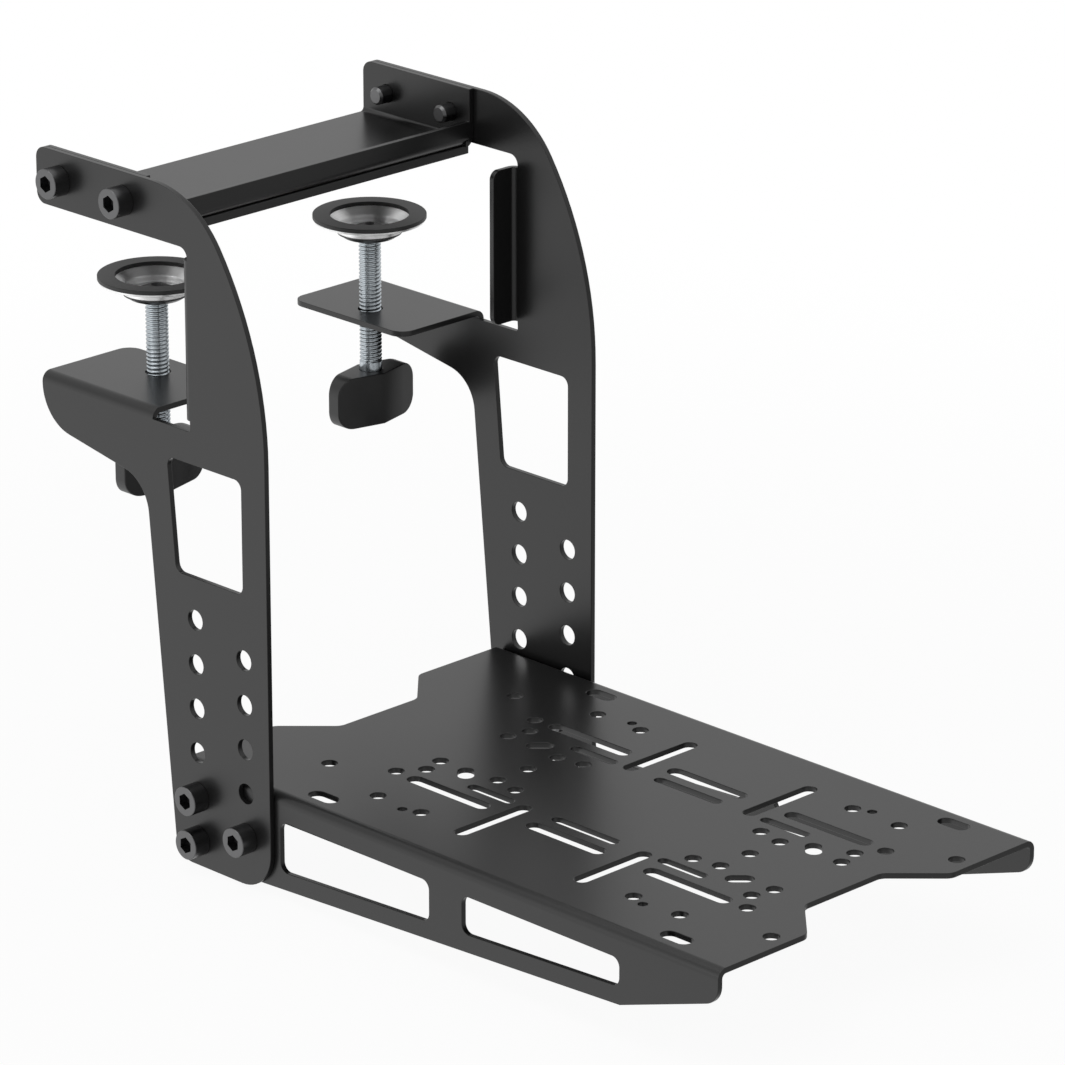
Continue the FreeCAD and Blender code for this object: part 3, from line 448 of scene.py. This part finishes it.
# %% Dark finishes
def grained_finish(name, colour, rough, grain_size, depth, strength, patch_strength,
                   rough_swing, dust_amount=0.0, metallic=0.0):
    """Coats, rubber, plastic and oxide: grain in relief, faint patches and a little dust."""
    material, tree, shader = start_finish(name)
    shader.inputs["Metallic"].default_value = metallic
    texture = place_effect(tree, grain, Grain_Size=grain_size, Patch_Strength=patch_strength)
    tone = scaled_colour(tree, colour, texture["Patches"])
    if dust_amount:
        specks = place_effect(tree, dust, Amount=dust_amount)
        tone = mixed_colour(tree, specks["Mask"], tone, DUST_COLOUR)
    feed(tree, tone, shader.inputs["Base Color"])
    patchy_roughness(tree, shader, texture["Patches"], rough, rough_swing)
    relief(tree, shader, texture["Height"], depth, strength)
    return material


powder_coat = grained_finish(
    "powder_coat", (0.0045, 0.0045, 0.0046), rough=0.31, grain_size=0.45 * MM, depth=0.03 * MM,
    strength=0.12, patch_strength=0.10, rough_swing=0.3, dust_amount=0.04)
black_rubber = grained_finish(
    "black_rubber", (0.012, 0.012, 0.0122), rough=0.50, grain_size=0.5 * MM, depth=0.08 * MM,
    strength=0.35, patch_strength=0.25, rough_swing=0.6, dust_amount=0.2)
black_steel = grained_finish(
    "black_bolt_steel", (0.12, 0.12, 0.122), rough=0.30, grain_size=0.3 * MM, depth=0.02 * MM,
    strength=0.12, patch_strength=0.3, rough_swing=0.4, metallic=1.0)
black_plastic = grained_finish(
    "black_plastic", (0.013, 0.013, 0.0134), rough=0.36, grain_size=0.4 * MM, depth=0.03 * MM,
    strength=0.25, patch_strength=0.2, rough_swing=0.5)
cap_rubber = grained_finish(
    "black_rubber_cap", (0.035, 0.035, 0.036), rough=0.5, grain_size=0.4 * MM, depth=0.04 * MM,
    strength=0.3, patch_strength=0.2, rough_swing=0.5)
print("dark finishes", powder_coat.name, black_rubber.name, black_steel.name)

# %% Bright finishes
# A quarter of a turn lays the streaks across the fine circles instead of along them.
ACROSS_THE_CIRCLES = 0.25


def turned_finish(name, colour, rough, spacing, streak):
    """Turned metal; its fine circles draw each reflection out across them by the streak."""
    material, tree, shader = start_finish(name)
    shader.inputs["Metallic"].default_value = 1.0
    shader.inputs["Anisotropic"].default_value = streak
    shader.inputs["Anisotropic Rotation"].default_value = ACROSS_THE_CIRCLES
    round_about = add_node(tree, "ShaderNodeTangent", {"direction_type": "RADIAL", "axis": "Z"})
    feed(tree, round_about.outputs[0], shader.inputs["Tangent"])
    marks = place_effect(tree, turning, Clamp_Offset=CLAMP_X, Mark_Spacing=spacing)
    feed(tree, scaled_colour(tree, colour, marks["Shade"]), shader.inputs["Base Color"])
    texture = place_effect(tree, grain, Grain_Size=2 * MM, Patch_Size=12 * MM,
                           Patch_Strength=0.5)
    patchy_roughness(tree, shader, texture["Patches"], rough, swing=0.25)
    relief(tree, shader, marks["Height"], depth=0.02 * MM, strength=0.3)
    return material


polished_zinc = turned_finish("polished_zinc", (0.93, 0.93, 0.93), rough=0.46,
                              spacing=0.5 * MM, streak=0.85)
screw_steel = turned_finish("plated_screw_steel", (0.46, 0.50, 0.53), rough=0.24,
                            spacing=0.7 * MM, streak=0.0)
print("bright finishes", polished_zinc.name, screw_steel.name)

# %% [markdown]
# ## Sheet parts
# Laser-cut sheet has sharp corners only on a drawing. The coat rounds every edge a little, and
# that thin round catches the light as a fine line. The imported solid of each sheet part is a
# heap of loose triangles, so a copy is merged, its flat faces are joined, and a Bevel modifier
# breaks the edges. The bend surfaces are left smooth. A Weighted Normal modifier then lets the
# large faces shade as flat as they are. The copy stands for the solid.

# %% Mesh helpers
def bake(piece):
    """Turns a piece and its modifiers into one plain mesh."""
    graph = bpy.context.evaluated_depsgraph_get()
    mesh = bpy.data.meshes.new_from_object(piece.evaluated_get(graph))
    piece.modifiers.clear()
    piece.data = mesh


def shade_smooth(mesh):
    mesh.polygons.foreach_set("use_smooth", [True] * len(mesh.polygons))


def give_finish(piece, material):
    piece.data.materials.clear()
    piece.data.materials.append(material)
    shade_smooth(piece.data)


def keep_faces_flat(piece):
    """Large faces keep their own normal, so that a small round beside them doesn't tint them."""
    flatten = piece.modifiers.new("flat_faces_stay_flat", "WEIGHTED_NORMAL")
    flatten.mode = "FACE_AREA"
    flatten.weight = 100
    flatten.keep_sharp = True
    bake(piece)


def triangles(piece):
    return sum(len(face.vertices) - 2 for face in piece.data.polygons)


print("mesh helpers ready")

# %% Merge a solid and choose its edges
SAME_SPOT = 0.002 * MM
SLIVER = 0.001 * MM
FLAT_ANGLE = math.radians(0.3)


def merged_copy(node_name):
    """A solid's triangles as one closed mesh with whole flat faces."""
    work = bmesh.new()
    work.from_mesh(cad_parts[node_name].data)
    bmesh.ops.remove_doubles(work, verts=work.verts, dist=SAME_SPOT)
    bmesh.ops.dissolve_degenerate(work, dist=SLIVER, edges=work.edges)
    bmesh.ops.dissolve_limit(work, angle_limit=FLAT_ANGLE, verts=work.verts, edges=work.edges)
    mesh = bpy.data.meshes.new(node_name + "_sheet")
    work.to_mesh(mesh)
    work.free()
    return mesh


def lies_in(edge, limits):
    """Whether both ends are this far, in mm, from the origin along X, Y and Z."""
    return all(low * MM < abs(value) < high * MM
               for end in edge.verts for value, (low, high) in zip(end.co, limits))


def choose_edges(mesh, angle, left_sharp, ridge_angle):
    """Marks the edges that get a round, outside the box left sharp, and those left as ridges."""
    work = bmesh.new()
    work.from_mesh(mesh)
    weight = work.edges.layers.float.new("bevel_weight_edge")
    for edge in work.edges:
        bend = edge.calc_face_angle(0.0)
        corner = bend > angle
        rounded = corner and not (left_sharp and lies_in(edge, left_sharp))
        edge[weight] = 1.0 if rounded else 0.0
        edge.smooth = corner or bend <= ridge_angle
    work.to_mesh(mesh)
    work.free()


print("edge helpers ready")

# %% Plates, crossbar, deck and strip
SHEET_EDGE = 0.25 * MM
STRIP_EDGE = 0.5 * MM
CORNER_ANGLE = math.radians(30)
# The crossbar's lip meets its tab in a corner that is smaller than the round, so it stays
# sharp. It lies this far from the origin along X, Y and Z, in mm, on the left and the right.
LIP_CORNER = ((89.0, 92.5), (27.0, 33.0), (3.5, 9.0))


def dressed(node_name, name, width, material, segments=2, angle=CORNER_ANGLE, left_sharp=None,
            ridge_angle=math.pi):
    """A copy of a solid with rounded edges, which stands for it."""
    piece = put_in_scene(name, merged_copy(node_name))
    shade_smooth(piece.data)
    choose_edges(piece.data, angle, left_sharp, ridge_angle)
    bevel = piece.modifiers.new("broken_edges", "BEVEL")
    bevel.width = width
    bevel.segments = segments
    bevel.limit_method = "WEIGHT"
    bevel.use_clamp_overlap = False
    keep_faces_flat(piece)
    give_finish(piece, material)
    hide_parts(node_name)
    return piece


sheet_parts = [
    ("left_side_plate", "left_side_sheet", None),
    ("right_side_plate", "right_side_sheet", None),
    ("crossbar", "crossbar_sheet", LIP_CORNER),
    ("wheel_deck", "wheel_deck_sheet", None),
]
for node_name, name, left_sharp in sheet_parts:
    piece = dressed(node_name, name, SHEET_EDGE, powder_coat, left_sharp=left_sharp)
    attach(piece, "frame")
    print(name, "triangles", triangles(piece))

strip = dressed("rubber_strip", "desk_strip", STRIP_EDGE, black_rubber)
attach(strip, "frame")
print(strip.name, "triangles", triangles(strip))

# %% [markdown]
# ## Socket head bolts
# Ten bolts hold the crossbar and the deck, five on each side. They are one shape repeated, so
# Geometry Nodes make them: a grid of points is bent into a bolt, ring by ring. Each ring has a
# radius and a height, and two rings follow a hexagon instead of a circle, which is the socket.
# The tree puts one bolt on every point of the mesh it is given. The sockets are lined up with
# a corner at the top, as in the picture, and each is off by its own fixed random angle of up
# to three degrees.

# %% Start a geometry tree and run it
def new_maker(name, sizes, seed=None):
    """A geometry tree with named sizes; also returns what it is given, and its exit."""
    inputs = [("Geometry", "NodeSocketGeometry", None)]
    inputs += [(label, FLOAT, value) for label, value in sizes.items()]
    if seed is not None:
        inputs.append(("Seed", "NodeSocketInt", seed))
    inputs.append(("Material", "NodeSocketMaterial", None))
    return new_tree("GeometryNodeTree", name, inputs, [("Geometry", "NodeSocketGeometry")])


def set_input(modifier, label, value):
    """A modifier's input is set by its socket's identifier, not by its name."""
    for item in modifier.node_group.interface.items_tree:
        if item.item_type == "SOCKET" and item.in_out == "INPUT" and item.name == label:
            modifier[item.identifier] = value


def grow(name, points, tree, sizes, material, sharp_angle):
    """Runs a geometry tree on a few points and keeps the result as a plain mesh."""
    seeds = bpy.data.meshes.new(name + "_points")
    seeds.from_pydata([tuple(point) for point in points], [], [])
    piece = put_in_scene(name, seeds)
    maker = piece.modifiers.new("maker", "NODES")
    maker.node_group = tree
    for label, value in {**sizes, "Material": material}.items():
        set_input(maker, label, value)
    bake(piece)
    give_finish(piece, material)
    piece.data.set_sharp_from_angle(angle=sharp_angle)
    keep_faces_flat(piece)
    return piece


print("tree helpers ready")

# %% Bend a grid into a round shape
def bent_grid(tree, rows, columns):
    """A grid of points with its row number and how far round each point lies, 0 to 1."""
    grid = add_node(tree, "GeometryNodeMeshGrid", Vertices_X=rows, Vertices_Y=columns)
    index = Amount(tree, tree.nodes.new("GeometryNodeInputIndex").outputs[0])
    row = ((index + 0.5) / columns).step("FLOOR")
    column = index - row * columns
    return grid.outputs["Mesh"], row, column / (columns - 1)


def pick_by_row(tree, row, values):
    """Chooses one of a list of numbers or outputs by the row of the grid."""
    switch = add_node(tree, "GeometryNodeIndexSwitch", {"data_type": "FLOAT"})
    while len(switch.index_switch_items) < len(values):
        switch.index_switch_items.new()
    return Amount(tree, feed_all(tree, switch, row, *values).outputs[0])


def wrap_round(tree, mesh, turn, radius, height):
    """Moves each point of a grid to its angle, radius and height round the Z axis."""
    angle = turn * (2 * math.pi)
    place = add_node(tree, "ShaderNodeCombineXYZ", X=radius * angle.step("COSINE"),
                     Y=radius * angle.step("SINE"), Z=height)
    return add_node(tree, "GeometryNodeSetPosition", Geometry=mesh,
                    Position=place.outputs[0]).outputs[0]


print("grid helpers ready")

# %% Put a shape on points
def rotation(tree, **angles):
    """A rotation from angles about X, Y and Z; those left out are 0."""
    turned_by = add_node(tree, "ShaderNodeCombineXYZ", **angles)
    return add_node(tree, "FunctionNodeEulerToRotation", Euler=turned_by.outputs[0]).outputs[0]


def put_on_points(tree, given, shape, turned_by, tree_exit):
    """One copy of a shape on every point, made real, closed and given its finish."""
    shapes = add_node(tree, "GeometryNodeInstanceOnPoints", Points=given["Geometry"],
                      Instance=shape, Rotation=turned_by)
    real = add_node(tree, "GeometryNodeRealizeInstances", Geometry=shapes.outputs[0])
    closed = add_node(tree, "GeometryNodeMergeByDistance", Geometry=real.outputs[0],
                      Distance=SLIVER)
    finished = add_node(tree, "GeometryNodeSetMaterial", Geometry=closed.outputs[0],
                        Material=given["Material"])
    feed_all(tree, tree_exit, finished.outputs[0])


print("point helpers ready")

# %% Bolt sizes
BOLT_SIZES = {"Head Width": 13.0 * MM, "Head Height": 8.0 * MM, "Edge Round": 0.4 * MM,
              "Socket Flats": 6.4 * MM, "Socket Depth": 4.5 * MM, "Shank Width": 8.0 * MM,
              "Shank Length": 12.0 * MM}
BOLT_SEED = 7

bolt_tree, bolt_given, bolt_exit = new_maker("socket_head_bolts", BOLT_SIZES, BOLT_SEED)
head = bolt_given["Head Width"] * 0.5
edge = bolt_given["Edge Round"]
top = bolt_given["Head Height"]
flats = bolt_given["Socket Flats"]
socket_floor = top - bolt_given["Socket Depth"]
shank = bolt_given["Shank Width"] * 0.5
shank_end = bolt_given["Shank Length"] * -1.0
print("bolt sizes", list(BOLT_SIZES))

# %% Bolt rings
SHANK_CHAMFER = 1.0 * MM
# The round under the head's edge, and the rings of the round on top: how far each lies inwards
# and down. All are shares of the edge's round.
UNDERSIDE_SHARE = 0.4
EDGE_RINGS = ((0.0, 1.0), (0.08, 0.62), (0.30, 0.30), (0.62, 0.08), (1.0, 0.0))
# A hexagon's corners lie this far from its middle, as a share of its width across the flats.
CORNER_SHARE = 0.5775
LEAD_IN = 0.04 * MM
# The cone that the drill leaves in the socket's floor; its width is a share of the flats too.
CONE_SHARE, CONE_EDGE, CONE_TIP = 0.42, 0.1 * MM, 0.8 * MM

# Each ring: its radius, its height and 1 if it follows the hexagon.
rings = [
    (0.0, shank_end, 0.0),
    (shank - SHANK_CHAMFER, shank_end, 0.0),
    (shank, shank_end + SHANK_CHAMFER, 0.0),
    (shank, 0.0, 0.0),
    (head - edge * UNDERSIDE_SHARE, 0.0, 0.0),
    (head, edge * UNDERSIDE_SHARE, 0.0),
]
rings += [(head - edge * inward, top - edge * down, 0.0) for inward, down in EDGE_RINGS]
rings += [
    (flats * CORNER_SHARE, top, 0.0),
    (flats * 0.5, top - LEAD_IN, 1.0),
    (flats * 0.5, socket_floor, 1.0),
    (flats * CONE_SHARE, socket_floor - CONE_EDGE, 0.0),
    (0.0, socket_floor - CONE_TIP, 0.0),
]
print("bolt rings", len(rings))

# %% Bolt shape
BOLT_STEPS = 73

bolt_grid, row, turn = bent_grid(bolt_tree, len(rings), BOLT_STEPS)
ring_radius, ring_height, hexness = (pick_by_row(bolt_tree, row, values)
                                     for values in zip(*rings))
sixth = (turn * 6.0).step("FRACT")
corner_stretch = 1.0 / ((sixth - 0.5) * (math.pi / 3)).step("COSINE")
radius = ring_radius * ((corner_stretch - 1.0) * hexness + 1.0)
bolt_shape = wrap_round(bolt_tree, bolt_grid, turn, radius, ring_height)
print("points round a bolt", BOLT_STEPS - 1)

# %% Turn each bolt its own way
OWN_TURN = 0.05
# The sockets that a Random Value node keeps for single numbers.
LEAST_IN, MOST_IN, NUMBER_OUT = 2, 3, 1

# A bolt on the left points left, one on the right points right.
seat = add_node(bolt_tree, "ShaderNodeSeparateXYZ",
                Vector=bolt_tree.nodes.new("GeometryNodeInputPosition").outputs[0])
outward = work_out(bolt_tree, "SIGN", seat.outputs["X"])
spin = add_node(bolt_tree, "FunctionNodeRandomValue", {"data_type": "FLOAT"},
                Seed=bolt_given["Seed"])
spin.inputs[LEAST_IN].default_value = -OWN_TURN
spin.inputs[MOST_IN].default_value = OWN_TURN
turned_by = add_node(bolt_tree, "FunctionNodeRotateRotation", {"rotation_space": "LOCAL"})
feed_all(bolt_tree, turned_by, rotation(bolt_tree, Y=outward * (math.pi / 2)),
         rotation(bolt_tree, Z=spin.outputs[NUMBER_OUT]))
put_on_points(bolt_tree, bolt_given, bolt_shape, turned_by.outputs[0], bolt_exit)
print("bolt tree nodes", len(bolt_tree.nodes))

# %% Place the bolts
BOLT_SHARP_ANGLE = math.radians(32)

plate_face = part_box("right_side_plate")[1][0]
bolt_nodes = sorted(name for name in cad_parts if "_bolt_" in name)
seats = []
for node_name in bolt_nodes:
    low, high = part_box(node_name)
    sign = -1 if node_name.startswith("left") else 1
    seats.append((sign * plate_face, (low[1] + high[1]) / 2, (low[2] + high[2]) / 2))
bolts = grow("socket_head_bolts", seats, bolt_tree, BOLT_SIZES, black_steel, BOLT_SHARP_ANGLE)
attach(bolts, "frame")
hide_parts(*bolt_nodes)
print("bolts", len(seats), "triangles", triangles(bolts))

# %% [markdown]
# ## Clamp screws
# A real thread is a ridge that climbs round the bar. Here a tall grid is wrapped round the
# axis, and every point is lifted by how far round it is, so that after a full turn a row
# meets the row one pitch above. The radius then goes in and out only with the row, and the
# ridge becomes a true screw. The ends sink into a plain core, as a cut thread runs out.

# %% Thread maker
THREAD_SIZES = {"Thread Width": 9.8 * MM, "Pitch": 1.75 * MM, "Depth": 0.5 * MM,
                "Length": 57.0 * MM}
THREAD_TURNS = int(THREAD_SIZES["Length"] / THREAD_SIZES["Pitch"]) + 2
ROWS_PER_TURN = 8
THREAD_STEPS = 49
# Shares of the way from the middle of the crest to the middle of the groove: where the crest
# ends, and how much of it the sloping flank takes.
CREST_END = 0.35
FLANK_SPAN = 0.3
# The thread starts and ends this far inside the core.
SUNK_END = 0.2 * MM

thread_tree, thread_given, thread_exit = new_maker("screw_thread", THREAD_SIZES)
pitch, depth, length = (thread_given[label] for label in ("Pitch", "Depth", "Length"))
thread_grid, row, turn = bent_grid(thread_tree, THREAD_TURNS * ROWS_PER_TURN + 1, THREAD_STEPS)
turns_up = row / ROWS_PER_TURN
height = (turns_up + turn - 1.0) * pitch
height = height.step("MAXIMUM", 0.0).step("MINIMUM", length)
from_crest = (turns_up.step("FRACT") * 2.0 - 1.0).step("ABSOLUTE")
cut = (from_crest - CREST_END).step("DIVIDE", FLANK_SPAN, clamp=True)
crest_radius = thread_given["Thread Width"] * 0.5
from_end = (length - height).step("MINIMUM", height)
run_out = crest_radius - depth - SUNK_END + from_end
radius = (crest_radius - cut * depth).step("MINIMUM", run_out)
thread_shape = wrap_round(thread_tree, thread_grid, turn, radius, height)
put_on_points(thread_tree, thread_given, thread_shape, (0.0, 0.0, 0.0), thread_exit)
print("thread turns", THREAD_TURNS, "nodes", len(thread_tree.nodes))

# %% [markdown]
# ## Turned parts
# The screw's core, its domed head, the cup, the cup's dark foot and the ring are round. Each
# is a half section turned about the clamp's axis. A section is a list of corners, and a corner
# may be given a round, which is drawn as a short arc, as a forming tool would leave it.

# %% Round the corners of a section
ARC_STEPS = 5


def rounded_outline(corners):
    """Corners are (radius, height, round). The rounds become arcs; both ends stay as given."""
    line = []
    for number, (across, up, turn_radius) in enumerate(corners):
        here = np.array((across, up), float)
        if turn_radius == 0 or number in (0, len(corners) - 1):
            line.append(here)
            continue
        before = np.array(corners[number - 1][:2], float) - here
        after = np.array(corners[number + 1][:2], float) - here
        before /= np.linalg.norm(before)
        after /= np.linalg.norm(after)
        half = math.acos(np.clip(before @ after, -1, 1)) / 2
        reach = turn_radius / math.tan(half)
        inward = (before + after) / np.linalg.norm(before + after)
        middle = here + inward * (turn_radius / math.sin(half))
        start, finish = here + before * reach - middle, here + after * reach - middle
        sweep = math.atan2(start[0] * finish[1] - start[1] * finish[0], start @ finish)
        for angle in np.linspace(0, sweep, ARC_STEPS + 1):
            line.append(middle + np.array((
                start[0] * math.cos(angle) - start[1] * math.sin(angle),
                start[0] * math.sin(angle) + start[1] * math.cos(angle))))
    return line


print("outline helper ready")

# %% Lathe
TURNED_SHARP_ANGLE = math.radians(40)


def turned(name, outline, axis_x, material, steps):
    """Turns a half section, in mm, into a closed solid round a clamp's axis."""
    line = rounded_outline(outline)
    angles = [2 * math.pi * number / steps for number in range(steps)]
    spots = [(axis_x + across * MM * math.cos(angle), across * MM * math.sin(angle), up * MM)
             for across, up in line for angle in angles]
    faces = []
    for ring in range(len(line) - 1):
        low = ring * steps
        high = low + steps
        for number in range(steps):
            after = (number + 1) % steps
            faces.append((low + number, low + after, high + after, high + number))
    mesh = bpy.data.meshes.new(name)
    mesh.from_pydata(spots, [], faces)
    work = bmesh.new()
    work.from_mesh(mesh)
    bmesh.ops.remove_doubles(work, verts=work.verts, dist=SLIVER)
    bmesh.ops.recalc_face_normals(work, faces=work.faces)
    work.to_mesh(mesh)
    work.free()
    piece = put_in_scene(name, mesh)
    give_finish(piece, material)
    mesh.set_sharp_from_angle(angle=TURNED_SHARP_ANGLE)
    keep_faces_flat(piece)
    return piece


print("lathe ready")

# %% Clamp heights and radii
def heights(node_name):
    """The heights of a solid's lowest and highest point, in mm."""
    return [corner[2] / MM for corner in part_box(node_name)]


SCREW_LOW, SCREW_TOP = heights("right_clamp_screw")
RING_LOW, RING_TOP = heights("right_cup_ring")
CUP_LOW = heights("right_clamp_cup")[0]
COLLAR_TOP = heights("right_clamp_knob")[1] + 4.0
SHOULDER = CUP_LOW - 0.3
FLOOR_TOP = CUP_LOW + 2.0
FLOOR_LOW = FLOOR_TOP - 0.2
FOOT_TOP = CUP_LOW + 2.9
WALL_TOP = CUP_LOW + 5.0
DOME_TOP = SCREW_TOP - 0.9

COLLAR_RADIUS = 5.0
ROOT_RADIUS = (THREAD_SIZES["Thread Width"] / 2 - THREAD_SIZES["Depth"]) / MM
NECK_RADIUS = 3.5
HEAD_RADIUS = 9.7
DIMPLE_FLOOR, DIMPLE_EDGE = 1.6, 2.1
CUP_BORE = 3.6
FOOT_BOTTOM, FOOT_EDGE, FOOT_STEP = 11.6, 14.9, 14.2
WALL_INSIDE, WALL_OUTSIDE = 13.8, 15.0
FLARE_END = 23.2
RIM_INSIDE, RIM_OUTSIDE = 17.6, 24.45
RING_INSIDE, RING_MIDDLE, RING_OUTSIDE = 17.4, 21.0, 24.95
print("heights mm: screw top", round(SCREW_TOP, 2), "ring", round(RING_LOW, 2),
      round(RING_TOP, 2), "cup foot", round(CUP_LOW, 2))

# %% Clamp sections
core_outline = [
    (0, SCREW_LOW, 0), (COLLAR_RADIUS, SCREW_LOW, 0), (COLLAR_RADIUS, COLLAR_TOP, 0.4),
    (ROOT_RADIUS, COLLAR_TOP + 0.9, 0.3), (ROOT_RADIUS, SHOULDER, 0),
    (NECK_RADIUS, SHOULDER, 0), (NECK_RADIUS, FLOOR_TOP + 0.3, 0), (0, FLOOR_TOP + 0.3, 0),
]
# The head is a low dome with a dimple in its middle.
head_outline = [
    (0, FLOOR_LOW, 0), (HEAD_RADIUS, FLOOR_LOW, 0), (HEAD_RADIUS, DOME_TOP - 3.2, 0.2),
    (8.0, DOME_TOP - 2.2, 1.0), (5.0, DOME_TOP - 0.9, 4.0), (DIMPLE_EDGE, DOME_TOP, 0.3),
    (DIMPLE_FLOOR, DOME_TOP - 1.4, 0.2), (0, DOME_TOP - 1.6, 0),
]
# The foot is a separate dark piece that makes the bottom of each cup dark.
foot_outline = [
    (CUP_BORE, CUP_LOW, 0), (FOOT_BOTTOM, CUP_LOW, 1.5), (FOOT_EDGE, FOOT_TOP, 0.3),
    (FOOT_STEP, FOOT_TOP, 0), (FOOT_STEP, FLOOR_LOW, 0), (CUP_BORE, FLOOR_LOW, 0),
    (CUP_BORE, CUP_LOW, 0),
]
# The cup goes up its outer side, over the rim and back down its inner side.
cup_outline = [
    (CUP_BORE, FLOOR_LOW, 0), (FOOT_STEP, FLOOR_LOW, 0), (FOOT_STEP, FOOT_TOP, 0),
    (WALL_OUTSIDE, FOOT_TOP, 0.15), (WALL_OUTSIDE, WALL_TOP, 1.2),
    (FLARE_END, RING_LOW - 1.2, 1.5), (RIM_OUTSIDE, RING_LOW - 1.0, 0.4),
    (RIM_OUTSIDE, RING_LOW, 0.15), (RIM_INSIDE, RING_LOW, 0.8), (WALL_INSIDE, WALL_TOP, 1.5),
    (WALL_INSIDE, FLOOR_TOP, 1.2), (CUP_BORE, FLOOR_TOP, 0), (CUP_BORE, FLOOR_LOW, 0),
]
# The ring's section starts and ends in the middle of its underside, so that all four corners
# can be round.
ring_outline = [
    (RING_MIDDLE, RING_LOW, 0), (RING_OUTSIDE, RING_LOW, 0.2), (RING_OUTSIDE, RING_TOP, 0.2),
    (RING_INSIDE, RING_TOP, 0.2), (RING_INSIDE, RING_LOW, 0.2), (RING_MIDDLE, RING_LOW, 0),
]
print("corners in the cup's section", len(cup_outline))

# %% Turn the clamps
SCREW_STEPS = 96
CUP_STEPS = 128
THREAD_LOW = COLLAR_TOP + 0.2
THREAD_SHARP_ANGLE = math.radians(50)

for side, sign in (("left", -1), ("right", 1)):
    axis_x = sign * CLAMP_X
    core = turned(side + "_screw_core", core_outline, axis_x, screw_steel, SCREW_STEPS)
    head = turned(side + "_screw_head", head_outline, axis_x, cap_rubber, SCREW_STEPS)
    cup = turned(side + "_turned_cup", cup_outline, axis_x, polished_zinc, CUP_STEPS)
    foot = turned(side + "_cup_foot", foot_outline, axis_x, black_steel, CUP_STEPS)
    ring = turned(side + "_rubber_ring", ring_outline, axis_x, black_rubber, CUP_STEPS)
    sizes = {**THREAD_SIZES, "Length": (SHOULDER - THREAD_LOW) * MM}
    thread = grow(side + "_screw_thread", [(axis_x, 0, THREAD_LOW * MM)], thread_tree, sizes,
                  screw_steel, THREAD_SHARP_ANGLE)
    for piece in (core, head, thread):
        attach(piece, side + "_clamp_spindle")
        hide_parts(side + "_clamp_screw")
    for piece, node_name, slot in ((cup, "_clamp_cup", "polished_zinc"),
                                   (foot, "_clamp_cup", "black_bolt_steel"),
                                   (ring, "_cup_ring", "black_rubber")):
        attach(piece, side + "_clamp_pad")
        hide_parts(side + node_name)
    print(side, "clamp triangles", [triangles(p) for p in (core, head, cup, foot, ring, thread)])

# %% [markdown]
# ## Knobs
# A knob is moulded plastic: two wings that thin out from a ridged hub. Moulded edges are
# rounder than cut ones, so the bevel is wider here, and the hub's low ridge stays crisp.

# %% Knobs
KNOB_EDGE = 0.5 * MM
KNOB_CORNER_ANGLE = math.radians(50)
KNOB_RIDGE_ANGLE = math.radians(12)

for side in ("left", "right"):
    knob = dressed(side + "_clamp_knob", side + "_moulded_knob", KNOB_EDGE, black_plastic,
                   segments=3, angle=KNOB_CORNER_ANGLE, ridge_angle=KNOB_RIDGE_ANGLE)
    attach(knob, side + "_clamp_spindle")
    print(knob.name, "triangles", triangles(knob))
